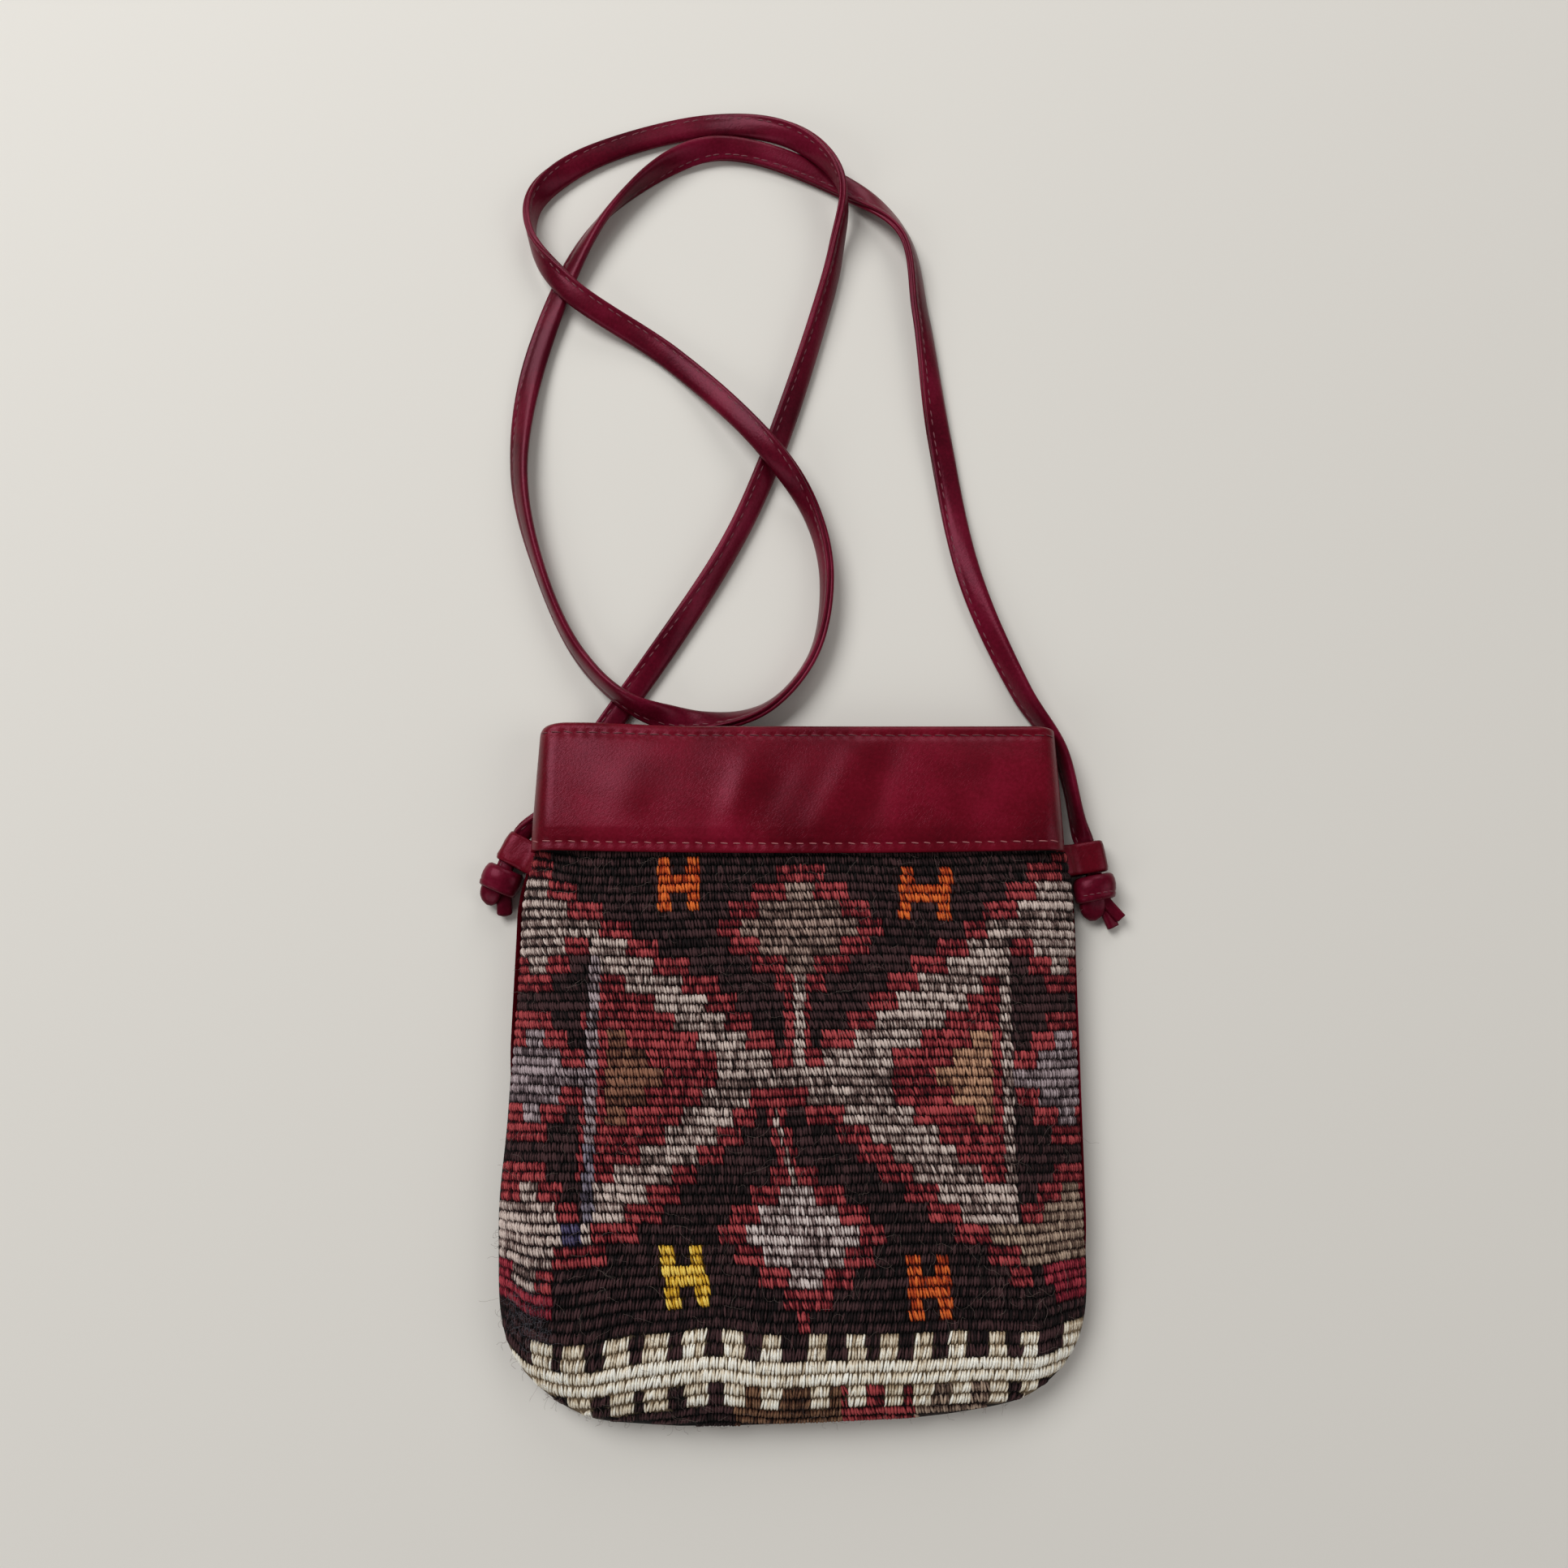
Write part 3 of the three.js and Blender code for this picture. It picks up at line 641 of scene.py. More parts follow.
def edge_distance(x, y):
    x, y = np.broadcast_arrays(np.abs(np.asarray(x, float)), np.asarray(y, float))
    across = x / (WIDEST_WIDTH / 2)
    down = np.maximum((CORNER_START - y) / CORNER_RISE, 1e-6)
    reach = (across**CORNER_POWER + down**CORNER_POWER) ** (1 / CORNER_POWER)
    slope = np.hypot(across ** (CORNER_POWER - 1) / (WIDEST_WIDTH / 2),
                     down ** (CORNER_POWER - 1) / CORNER_RISE)
    corner = (1 - reach) / (reach ** (1 - CORNER_POWER) * slope)
    return np.where(y >= CORNER_START, half_width(y) - x, corner)


def rolled(distance, roll):
    return 1 - np.maximum(1 - np.maximum(distance, 0) / roll, 0) ** 2


def foot_of(inset):
    return CORNER_START - (CORNER_RISE - inset) * FOOT_SHARE


def lifted(y):
    return eased(y, BAND_LOW - LIFT_RUN, LIFT_RUN)


def kilim_tucked(y):
    return eased(y, BAND_LOW - KILIM_TUCK_RUN / 2, KILIM_TUCK_RUN)


def kilim_inset(y):
    return blend(KILIM_INSET, TUCK_INSET, kilim_tucked(y))


def back_tucked(y):
    return eased(y, BAND_LOW - BACK_TUCK_RUN, BACK_TUCK_RUN)


def back_inset(y):
    return TUCK_INSET * back_tucked(y)


def back_under(x, y):
    lift = NECK_BACK * lifted(y)
    rise = np.maximum(SEAM_HEIGHT - LEATHER - lift, 0) * (1 - back_tucked(y))
    return lift + rise * (1 - rolled(edge_distance(x, y) - back_inset(y), BACK_ROLL))


def kilim_under(x, y):
    seat = (SEAM_HEIGHT - LEATHER) * (1 - rolled(KILIM_INSET, BACK_ROLL)) + LEATHER
    seam = blend(seat, SEAM_HEIGHT, lifted(y)) + CLEARANCE
    edge = blend(seam, NECK_KILIM, kilim_tucked(y))
    crown = blend(BODY_DEPTH - KILIM, NECK_KILIM, eased(y, BAND_LOW - NECK_RUN, NECK_RUN))
    return blend(edge, crown, rolled(edge_distance(x, y) - kilim_inset(y), FRONT_ROLL))


print(f"front's height at the middle: {float(kilim_under(0, 0)) + KILIM:.1f} mm")

# %% [markdown]
# The soft bag doesn't lie quite true. Below the band its sides are drawn out until they are parallel,
# its lower part leans to the left, and the foot sags there. Every point of the bag below the band is
# moved so. The woven front also hangs over the back's edge, most at the left and at the foot's ends.

# %% Let the bag settle
# where a change starts, in millimetres from the bag's middle, and its run
BELOW_BAND, SAG_RUN, SIDE_RUN, FOOT_RUN = (-66, 24), (55, 45), (48, 38), (62, 36)
LEFT_HANG_RUN, RIGHT_HANG_RUN, FOOT_HANG_RUN = (-14, 40), (10, 30), (-10, 50)
SETTLED_HALF_WIDTH = 87.9
SHIFT_LEFT, LEAN_LEFT, LEAN_TOP, LEAN_RUN, LEAN_MOST = -1.0, -0.9, 35, 95, 1.3
FOOT_SAG = (-1.8, -38, 42)
LEFT_HANG, LEFT_HANG_ABOVE, LEFT_SWELL = 1.4, 0.7, (1.3, -44, 18)
RIGHT_HANG, RIGHT_HANG_MORE = 1.4, 0.7
FOOT_HANG_LEFT, FOOT_HANG_RIGHT = 1.5, 1.2
FOOT_SWELLS = [(2.0, -62, 13), (1.2, 66, 11)]


def settled(points):
    x, y, z = np.asarray(points, float).T
    below = eased(-y, *BELOW_BAND)
    spread = blend(1.0, SETTLED_HALF_WIDTH / half_width(np.maximum(y, CORNER_START)), below)
    aside = SHIFT_LEFT * below + LEAN_LEFT * np.clip((LEAN_TOP - y) / LEAN_RUN, 0, LEAN_MOST)
    sag = swell(x, *FOOT_SAG) * eased(-y, *SAG_RUN)
    return xyz(x * spread + aside, y + sag, z)


def woven(points):
    """Where the settled front's points lie, hung over the back's edge at the sides and the foot."""
    x, y, z = settled(points).T
    left = blend(LEFT_HANG, LEFT_HANG_ABOVE, eased(y, *LEFT_HANG_RUN)) + swell(y, *LEFT_SWELL)
    right = RIGHT_HANG + RIGHT_HANG_MORE * eased(y, *RIGHT_HANG_RUN)
    foot = blend(FOOT_HANG_LEFT, FOOT_HANG_RIGHT, eased(x, *FOOT_HANG_RUN))
    for swelling in FOOT_SWELLS:
        foot = foot + swell(x, *swelling)
    aside = right * eased(x, *SIDE_RUN) - left * eased(-x, *SIDE_RUN)
    return xyz(x + aside, y - foot * eased(-y, *FOOT_RUN), z)


print("side of the settled bag at its middle:", settled([[half_width(0.0), 0, 0]])[0, 0], "mm")

# %% [markdown]
# ## The woven front
# A kilim is woven flat: each row of wool is beaten down so hard that only the weft shows. Every row
# is a rib across the bag, and every crossing of a rib shows as one short slanting stroke of yarn.
# The panel is built the same way. A ground cloth carries the shape, coloured dark as painted shade
# between the strokes, and on it lies one grain of wool for every stroke, rib by rib.

# %% Shape the woven face
RIB_PITCH, COMB_PITCH, FOOT_PITCH = 2.78, 3.45, 2.6
COMB_RIB, FOOT_RIB = 50, 56
RIBS = np.arange(-2, 62)
# height, length along x and y, and start of the ribs' slow waves
RIB_WAVES = [(0.35, 17, 37, 0.0), (0.22, 7.3, 11, 1.3)]
LOW_RIBS, HIGH_RIBS = (42, 34), (35, 25)
LOW_DIP, LOW_SWELLS = -1.2, [(-2.4, -70, 15), (1.8, -22, 11)]
# how far the ribs rise at their right and left ends, from where and over what run
LOW_ENDS, HIGH_ENDS = [(1.8, 69, 13), (3.0, 76, 8)], [(2.0, 45, 40), (2.6, 64, 20)]
EDGE_ROUND, GROUND_DEPTH = 2.4, 1.1
CLOTH_ROWS, PANEL_COLUMNS = 150, 90


def kilim_face(x, y):
    edge = np.clip(edge_distance(x, y) - kilim_inset(y), 0, EDGE_ROUND)
    drop = EDGE_ROUND - np.sqrt(np.maximum(EDGE_ROUND**2 - (EDGE_ROUND - edge) ** 2, 0))
    return kilim_under(x, y) + KILIM - drop


def rib_pitch(rib):
    if rib < COMB_RIB:
        return RIB_PITCH
    return COMB_PITCH if rib < FOOT_RIB else FOOT_PITCH


def ends_risen(x, right, left):
    return right[0] * eased(x, *right[1:]) + left[0] * eased(-x, *left[1:])


def rib_height(rib, x):
    above = sum(rib_pitch(r) for r in range(rib)) if rib > 0 else rib * RIB_PITCH
    y = BAND_LOW - above - rib_pitch(rib) / 2
    wave = sum(high * np.sin(x / wide + y / tall + start) for high, wide, tall, start in RIB_WAVES)
    dip = LOW_DIP + sum(swell(x, *swelling) for swelling in LOW_SWELLS)
    low = eased(-y, *LOW_RIBS) * (dip + ends_risen(x, *LOW_ENDS))
    return y + wave + low + eased(y, *HIGH_RIBS) * ends_risen(x, *HIGH_ENDS)


def panel_body(rows, columns, half, under, top):
    x = columns[None, :] * half(rows)[:, None]
    y = np.broadcast_to(rows[:, None], x.shape)
    sheets = [xyz(x, y, surface(x, y)).reshape(-1, 3) for surface in (under, top)]
    low = grid_faces(len(rows), len(columns))
    count = x.size
    faces = [face[::-1] for face in low] + [[i + count for i in face] for face in low]
    index = np.arange(count).reshape(x.shape)
    rim = [*index[0], *index[1:, -1], *index[-1, -2::-1], *index[-2:0:-1, 0]]
    rim = [int(i) for i in rim]
    for a, b in zip(rim, rim[1:] + rim[:1]):
        faces.append([a, b, b + count, a + count])
    points = np.vstack(sheets)
    return points, turned_out(points, faces)


def woven_piece(name, points, faces, material):
    return make_piece(name, woven(points), faces, material, "kilim_wool", "kilim_front_panel")


def across_columns(count):
    return np.sin((np.arange(count + 1) / count - 0.5) * np.pi)


# the cloth under the strokes is coloured with painted shade, taken from the yarn beside each place
gap_shade_material, ground_tree, ground_shader = new_material("painted_shade_cloth", 0.9, Specular_IOR_Level=0.2)
set_inputs(ground_tree, ground_shader, {"Base_Color": add_attribute(ground_tree, "painted_gap_shade", "Color")})
cloth_points, cloth_faces = panel_body(
    np.linspace(foot_of(KILIM_INSET), TUCK_TOP, CLOTH_ROWS), across_columns(PANEL_COLUMNS),
    lambda y: half_width(y, kilim_inset(y)), kilim_under,
    lambda x, y: kilim_face(x, y) - GROUND_DEPTH,
)
kilim_cloth = woven_piece("kilim_cloth", cloth_points, cloth_faces, gap_shade_material)

# %% [markdown]
# ### The pattern
# The figures are counted out in steps, two ribs to a step: a large cross of red arms edged with
# grey, a stepped diamond above and below it, hooked figures along both sides, four small rung
# figures in bright wool and a comb border at the foot. Row 0 runs through the middle of the cross.
# Each figure is a short list of its steps, in millimetres from the bag's centre line.

# %% List the figures' steps
ARMS = {
    ("upper", -1): [(2.7, 8.6), (7.4, 16.2), (14.3, 22.4), (19.3, 28.1), (24.5, 35.6), (33.7, 44.4),
                    (43.0, 53.0), (51.2, 61.4), (60.3, 71.6), (69.0, 78.6), (77.4, 92.0), (78.0, 92.0)],
    ("upper", 1): [(-0.1, 7.3), (6.6, 16.6), (14.5, 23.3), (21.2, 29.8), (26.7, 36.4), (34.0, 45.2),
                   (42.1, 51.6), (50.5, 57.5), (56.9, 67.2), (63.9, 73.9), (71.2, 83.0), (80.0, 92.0)],
    ("lower", -1): [(9.8, 14.9), (12.9, 20.0), (17.0, 24.7), (22.5, 30.2), (30.1, 37.3), (35.3, 44.9),
                    (40.2, 51.7), (47.5, 61.3), (56.3, 72.4), (72.0, 77.7)],
    ("lower", 1): [(-7.1, 2.1), (1.8, 13.0), (11.0, 20.9), (17.4, 27.5), (23.1, 33.2), (30.7, 40.7),
                   (37.5, 47.7), (45.2, 55.7), (55.0, 64.5), (60.5, 68.0)],
}
SIDE_TRIANGLES = {
    ("upper", -1): [24.7, 24.7, 30.7, 38.1, 43.9, 53.0, 61.0],
    ("upper", 1): [28.0, 28.1, 36.7, 44.2, 51.1, 55.7, 61.0],
    ("lower", -1): [24.7, 29.2, 35.0, 39.9, 47.1, 55.1, 60.7],
    ("lower", 1): [28.0, 28.0, 34.3, 41.2, 46.8, 53.8, 61.0],
}
DIAMONDS = [
    # centre row, centre x, drift per row, outer half-widths, inner half-widths, core
    (-8, 0.3, 0.0, (25.4, 21.7, 15.0, 7.6), (18.0, 12.5, 4.4, 0.0), "taupe"),
    (8, 0.6, 0.65, (24.5, 20.3, 13.8, 7.2), (16.5, 11.8, 5.0, 0.0), "silver"),
]
CORE_FROM, CORE_TO = [41, 46, 52], 58
SIDE_LINE = (60.8, 64.2)
HOOK_CORE, HOOK_RED = [64.0, 72.0, 78.0], [64.0, 64.8, 70.3, 75.5]
HOOK_ROWS, HOOK_MIDDLE, HOOK_END_STEP, HOOK_END = 7, 4, 2, 84
SIDE_RED_ROWS, SIDE_RED_TO, VIOLET_ROW, VIOLET_TO = (-3, 2, 3, 4, 5), 66, 8, 69.8
TAN_ROW, SLATE_ROW, BROKEN_LINE_ROW = 8, 4, -7
LAST_SIDE_ROW, LAST_CRIMSON = 10, {-1: 85, 1: 71.5}
# where the lower stem starts, its drift per row, and the half widths of its red and of its core
LOWER_STEM, LOWER_STEM_ROWS = (-8.5, 1.6, 3.0, 0.9), range(2, 6)
RUNGS = [
    # yarn, first rib, left x, right x, lean per rib
    ("orange", 1, -44.1, -30.8, 0.05), ("orange", 2, 31.6, 47.8, -0.25),
    ("gold", 42, -41.2, -28.5, 0.55), ("rust", 43, 31.1, 43.6, 0.1),
]
RUNG_RIBS, RUNG_BAR, RUNG_POST = 6, (2, 3), 4.2
COMB_UPPER = [-75.2, -65.6, -52.8, -41.6, -30.4, -19.2, -8.4, 4.9, 16.0, 25.6, 35.3, 45.5, 56.7, 66.7]
COMB_LOWER = [-63.8, -51.7, -41.6, -29.9, -19.2, -8.4, 5.7, 16.3, 27.1, 35.5, 46.3, 57.7, 67.1]
COMB_TOOTH_LEFT, COMB_TOOTH_RIGHT, COMB_RUN = 7.0, 5.3, (-50, 60)
COMBS = {13: COMB_UPPER, 15: COMB_LOWER}
MIDDLE_ROW, BEYOND = 12, 99
FIELDS = [
    # first row, last row, left x, right x, yarn
    (1, 1, -11.0, 2.3, "red"), (-5, -1, -4.5, 3.2, "red"), (-5, -1, -1.7, 1.7, "stone"),
    (12, 12, -0.7, 2.6, "red"), (11, 11, -BEYOND, -72.2, "crimson"), (11, 11, 75, BEYOND, "crimson"),
    (13, 13, 77, BEYOND, "cream"), (14, 14, -BEYOND, BEYOND, "cream"), (15, 18, -19.0, 12.0, "brown"),
    (15, 18, 12.0, 33.8, "red"), (15, 18, 33.8, 55.3, "tan"),
]
print("figures:", len(ARMS), "arms,", len(DIAMONDS), "diamonds,", len(RUNGS), "rung figures")

# %% [markdown]
# `yarn_at` asks the figures in turn which yarn a stroke has. Later figures lie over earlier ones, as
# the weaver's counting does.

# %% Choose the yarn of every stroke
def between(x, low, high):
    return (x > low) & (x < high)


def side_yarns(yarn, x, row, side):
    """Bands, triangles, lines and hooks from one arm's outer edge to the side of the bag."""
    half = "upper" if row < 0 else "lower"
    step, reach = abs(row), x * side
    if step > LAST_SIDE_ROW:
        return
    beyond = reach >= (ARMS[half, side][step - 1][1] if step else 0.0)
    if step < len(SIDE_TRIANGLES[half, side]):
        triangle = SIDE_TRIANGLES[half, side][step]
        yarn[beyond & (reach < triangle)] = "stone"
        inside = (reach >= triangle) & (reach < SIDE_LINE[0])
        yarn[inside] = "red"
        if step < len(CORE_FROM):
            core = "ochre" if side > 0 else "umber"
            yarn[inside & (reach >= CORE_FROM[step]) & (reach < CORE_TO)] = core
    else:
        yarn[beyond] = "tan" if half == "lower" and side > 0 and step >= TAN_ROW else "stone"
    edge = beyond & (reach >= SIDE_LINE[1])
    if step <= HOOK_ROWS:
        stone = side > 0 or row == BROKEN_LINE_ROW
        side_line = "stone" if stone else "slate" if row >= SLATE_ROW else "lilac"
        yarn[beyond & (reach >= SIDE_LINE[0]) & ~edge] = side_line
        away = HOOK_MIDDLE - abs(HOOK_MIDDLE - step)
        lower_right = row > HOOK_MIDDLE and side > 0
        core = "lilac" if step <= HOOK_MIDDLE else "tan" if lower_right else "stone"
        yarn[edge] = "ground"
        if away < len(HOOK_RED):
            yarn[edge & (reach >= HOOK_RED[away])] = "red"
        if away < len(HOOK_CORE):
            yarn[edge & (reach >= HOOK_CORE[away])] = core
        if away == HOOK_END_STEP:
            yarn[edge & (reach >= HOOK_END)] = "red"
        if side < 0 and row in SIDE_RED_ROWS:
            yarn[edge & (reach < SIDE_RED_TO)] = "red"
    if side < 0 and row == VIOLET_ROW:
        yarn[edge & (reach < VIOLET_TO)] = "violet"
    if row == LAST_SIDE_ROW:
        yarn[beyond] = "stone" if side < 0 else "ground"
        yarn[reach >= LAST_CRIMSON[side]] = "crimson"


def diamond_yarns(yarn, x, row):
    for centre_row, centre_x, drift, outer, inner, core in DIAMONDS:
        away = abs(row - centre_row)
        if away < len(outer):
            off = np.abs(x - centre_x - drift * (row - centre_row))
            yarn[off < outer[away]] = "red"
            yarn[off < inner[away]] = core
    if row in LOWER_STEM_ROWS:
        start, drift, red, core = LOWER_STEM
        off = np.abs(x - start - drift * (row - 1))
        yarn[off < red] = "red"
        yarn[off < core] = "stone"


def rung_yarns(yarn, x, rib):
    for name, first, left, right, lean_per_rib in RUNGS:
        step = rib - first
        if 0 <= step < RUNG_RIBS:
            off = x - lean_per_rib * step
            bar = between(off, left, right)
            posts = bar & ~between(off, left + RUNG_POST, right - RUNG_POST)
            yarn[bar if step in RUNG_BAR else posts] = name


def comb_yarns(yarn, x, row):
    for middle in COMBS.get(row, []):
        tooth = blend(COMB_TOOTH_LEFT, COMB_TOOTH_RIGHT, eased(middle, *COMB_RUN))
        yarn[np.abs(x - middle) < tooth / 2] = "cream"


def yarn_at(x, rib):
    row = rib // 2 - MIDDLE_ROW
    half = "upper" if row < 0 else "lower"
    yarn = np.full(x.shape, "ground", dtype=object)
    for side in (-1, 1):
        side_yarns(yarn, x, row, side)
        if row and abs(row) <= len(ARMS[half, side]):
            inner, outer = ARMS[half, side][abs(row) - 1]
            yarn[(x * side >= inner) & (x * side < outer)] = "red"
    diamond_yarns(yarn, x, row)
    for first, last, left, right, name in FIELDS:
        if first <= row <= last:
            yarn[between(x, left, right)] = name
    rung_yarns(yarn, x, rib)
    comb_yarns(yarn, x, row)
    return yarn


# %% [markdown]
# ### The strokes
# The strokes of a rib stand side by side at an even pitch along the curved surface. Every second rib
# starts half a pitch later, so the strokes' tips lock into each other. Each stroke leans a little,
# is a little larger or smaller and has its own tone, as hand-spun wool does; where two colours meet
# there is a narrow slit.

# %% Lay the strokes
STROKE_PITCH = 0.9
RIB_SAMPLES, FEWEST_SAMPLES, EDGE_GAP, TUCK_GAP = np.linspace(-88, 88, 2401), 60, 0.2, 1
ALONG_JITTER, HEIGHT_JITTER = 0.07, 0.1
MIDDLE_TONE, BATCH_TONE, STROKE_TONE, SLOW_TONE = 0.45, 0.08, 0.16, 0.09
SLOW_PLACES = np.linspace(-90, 90, 25)
SLIT_WIDTH = 0.88


def lay_rib(rib):
    x, y = RIB_SAMPLES, rib_height(rib, RIB_SAMPLES)
    kept = (edge_distance(x, y) - kilim_inset(y) > EDGE_GAP) & (y < TUCK_TOP - TUCK_GAP)
    if kept.sum() < FEWEST_SAMPLES:
        return None
    x, y = x[kept], y[kept]
    run = np.append(0, np.cumsum(np.hypot(np.diff(x), np.diff(kilim_face(x, y)))))
    count = int(run[-1] / STROKE_PITCH)
    places = (np.arange(count) + 0.25 + 0.5 * (rib % 2)) * run[-1] / (count + 0.5)
    places = places + rng.normal(0, ALONG_JITTER, count)
    height = np.interp(places, run, y) + rng.normal(0, HEIGHT_JITTER, count)
    return np.interp(places, run, x), height


ribs_laid = []
for rib in RIBS:
    laid = lay_rib(rib)
    if laid is None:
        continue
    x, y = laid
    yarn = yarn_at(woven(xyz(x, y, 0))[:, 0], rib)
    change = np.append(yarn[1:] != yarn[:-1], False)
    beside = change | np.append(False, change[:-1])
    batch = {name: rng.normal(0, BATCH_TONE) for name in sorted(set(yarn))}
    tone = MIDDLE_TONE + np.array([batch[name] for name in yarn])
    tone = tone + rng.normal(0, STROKE_TONE, len(yarn))
    slow = np.interp(x, SLOW_PLACES, rng.normal(0, SLOW_TONE, len(SLOW_PLACES)))
    thin, pitch = np.where(beside, SLIT_WIDTH, 1.0), np.full(len(yarn), rib_pitch(rib))
    ribs_laid.append((x, y, yarn, np.clip(tone + slow, 0, 1), thin, pitch))
strokes = [np.concatenate(values) for values in zip(*ribs_laid)]
stroke_yarns = strokes[2]
print("wool strokes:", len(stroke_yarns))

# %% [markdown]
# Each stroke is turned to the surface it lies on: its height follows the face's own normal, its
# length runs across the rib with the yarn's slant. Its tone gets painted light: lighter at its crown
# and upper end, darker at its sides and lower end. One piece is made for each yarn.

# %% Turn the strokes into wool
# dark, middle, light colour of each yarn: the dark end is largely painted shade on the strokes' sides
# and, halved, between them; the light end is largely painted highlight on their crowns
WOOLS = {
    "ground": ((5, 2, 3), (26, 10, 12), (72, 46, 48)),
    "red": ((26, 2, 6), (97, 16, 26), (178, 74, 77)),
    "crimson": ((46, 4, 12), (112, 16, 36), (170, 60, 72)),
    "stone": ((34, 21, 20), (113, 90, 85), (214, 196, 187)),
    "taupe": ((32, 19, 17), (92, 69, 63), (178, 152, 140)),
    "silver": ((44, 30, 30), (128, 106, 104), (222, 208, 204)),
    "lilac": ((36, 26, 30), (104, 87, 91), (182, 165, 169)),
    "tan": ((46, 31, 27), (112, 88, 76), (188, 164, 144)),
    "slate": ((28, 23, 31), (80, 71, 84), (142, 132, 146)),
    "ochre": ((54, 30, 24), (128, 88, 68), (198, 154, 124)),
    "umber": ((34, 15, 12), (90, 52, 41), (152, 106, 84)),
    "brown": ((36, 18, 12), (86, 54, 38), (142, 106, 80)),
    "cream": ((156, 134, 106), (232, 219, 196), (255, 253, 244)),
    "orange": ((88, 20, 6), (172, 56, 18), (228, 116, 50)),
    "rust": ((90, 22, 8), (172, 58, 20), (226, 114, 50)),
    "gold": ((132, 92, 16), (220, 170, 40), (248, 216, 104)),
    "violet": ((20, 16, 34), (54, 47, 78), (106, 98, 130)),
}
PIECE_STROKES = 3600
# the painted shade between the strokes is this share of the yarn's dark colour
GAP_PAINTED_SHADE = 0.5
STROKE_HEIGHT, STROKE_WIDTH, STROKE_LENGTH, STROKE_ARCH = 0.7, 0.54, 0.6, 0.36
HEIGHT_SPREAD, WIDTH_SPREAD, LENGTH_SPREAD, SLANT_SPREAD = 0.07, 0.11, 0.05, 6
COMB_LENGTH = 0.95
# painted light on each stroke: crown lighter and sides darker, upper end lighter than lower end
CROWN_PAINTED_LIGHT, CROWN_MIDDLE, TIP_PAINTED_LIGHT = 0.58, 0.4, 0.12
SLANT, FOOT_SLANT, LEFT_SLANT, RIGHT_SLANT = 15.0, -7.0, 14, -9
SLANT_WAVE, SLANT_WIDE, SLANT_TALL = 4, 13, 21
UPRIGHT_YARNS, UPRIGHT_RUN = ["ground", "brown", "cream"], (10, 50)
LEFT_SLANT_RUN, HIGH_SLANT_RUN, RIGHT_SLANT_RUN = (62, 24), (0, 40), (58, 20)


def slant_at(x, y, yarn):
    """Degrees: more at the upper left, less at the right, the other way near the foot in some yarns."""
    upright = np.isin(yarn, UPRIGHT_YARNS) * eased(-y, *UPRIGHT_RUN)
    edge = LEFT_SLANT * eased(-x, *LEFT_SLANT_RUN) * eased(y, *HIGH_SLANT_RUN)
    edge = edge + RIGHT_SLANT * eased(x, *RIGHT_SLANT_RUN)
    return blend(SLANT + edge, FOOT_SLANT, upright) + SLANT_WAVE * np.sin(x / SLANT_WIDE + y / SLANT_TALL)


def laid_on(along, up):
    return unit(along - up * np.einsum("ij,ij->i", along, up)[:, None])


def paint_gap_shade(piece, points):
    """Paints the cloth between the strokes in shade: half the dark colour of the yarn beside it."""
    x, y = points[:, 0], points[:, 1]
    nearest = RIBS[np.argmin([np.abs(rib_height(rib, x) - y) for rib in RIBS], axis=0)]
    across = woven(points)[:, 0]
    colours = np.zeros((len(points), 4))
    for rib in RIBS:
        here = nearest == rib
        darks = [paint(*WOOLS[name][0]) for name in yarn_at(across[here], rib)]
        colours[here] = GAP_PAINTED_SHADE * np.reshape(darks, (-1, 4))
    shade = piece.data.attributes.new("painted_gap_shade", "FLOAT_COLOR", "POINT")
    shade.data.foreach_set("color", colours.ravel().astype(np.float32))


def lay_strokes(title, material, picks):
    x, y, yarn, tone, thin, pitch = [values[picks] for values in strokes]
    reach = 0.4
    slope_x = (kilim_face(x + reach, y) - kilim_face(x - reach, y)) / (2 * reach)
    slope_y = (kilim_face(x, y + reach) - kilim_face(x, y - reach)) / (2 * reach)
    up = unit(xyz(-slope_x, -slope_y, 1))
    turn = np.radians(slant_at(x, y, yarn) + rng.normal(0, SLANT_SPREAD, len(x)))
    along = laid_on(xyz(-np.sin(turn), np.cos(turn), 0), up)
    height = STROKE_HEIGHT * rng.normal(1, HEIGHT_SPREAD, len(x))
    centre = xyz(x, y, kilim_face(x, y)) - up * height[:, None]
    width = STROKE_WIDTH * STROKE_PITCH * thin * rng.normal(1, WIDTH_SPREAD, len(x))
    length = STROKE_LENGTH * pitch * rng.normal(1, LENGTH_SPREAD, len(x))
    length = length * np.where(pitch == COMB_PITCH, COMB_LENGTH, 1.0)
    points, faces = grains(centre, along, up, width, length, height, STROKE_ARCH)
    piece = woven_piece(title, points, faces, material)
    off = points.reshape(len(x), -1, 3) - centre[:, None, :]
    crown = np.einsum("bij,bj->bi", off, up) / height[:, None]
    tip = np.einsum("bij,bj->bi", off, along) / length[:, None]
    # painted light: each stroke's own tone, lightened at its crown and upper end, darkened at its sides
    # and lower end
    tone_and_painted_light = tone[:, None] + CROWN_PAINTED_LIGHT * (crown - CROWN_MIDDLE) + TIP_PAINTED_LIGHT * tip
    shade = piece.data.attributes.new("tone", "FLOAT", "POINT")
    shade.data.foreach_set("value", tone_and_painted_light.ravel().astype(np.float32))
    return piece


paint_gap_shade(kilim_cloth, cloth_points)
for name, colours in WOOLS.items():
    picks = np.flatnonzero(stroke_yarns == name)
    yarn_wool = make_wool(f"{name}_wool", *colours)
    for part, group in enumerate(np.array_split(picks, 1 + len(picks) // PIECE_STROKES)):
        lay_strokes(f"kilim_{name}_strokes_{part + 1}", yarn_wool, group)

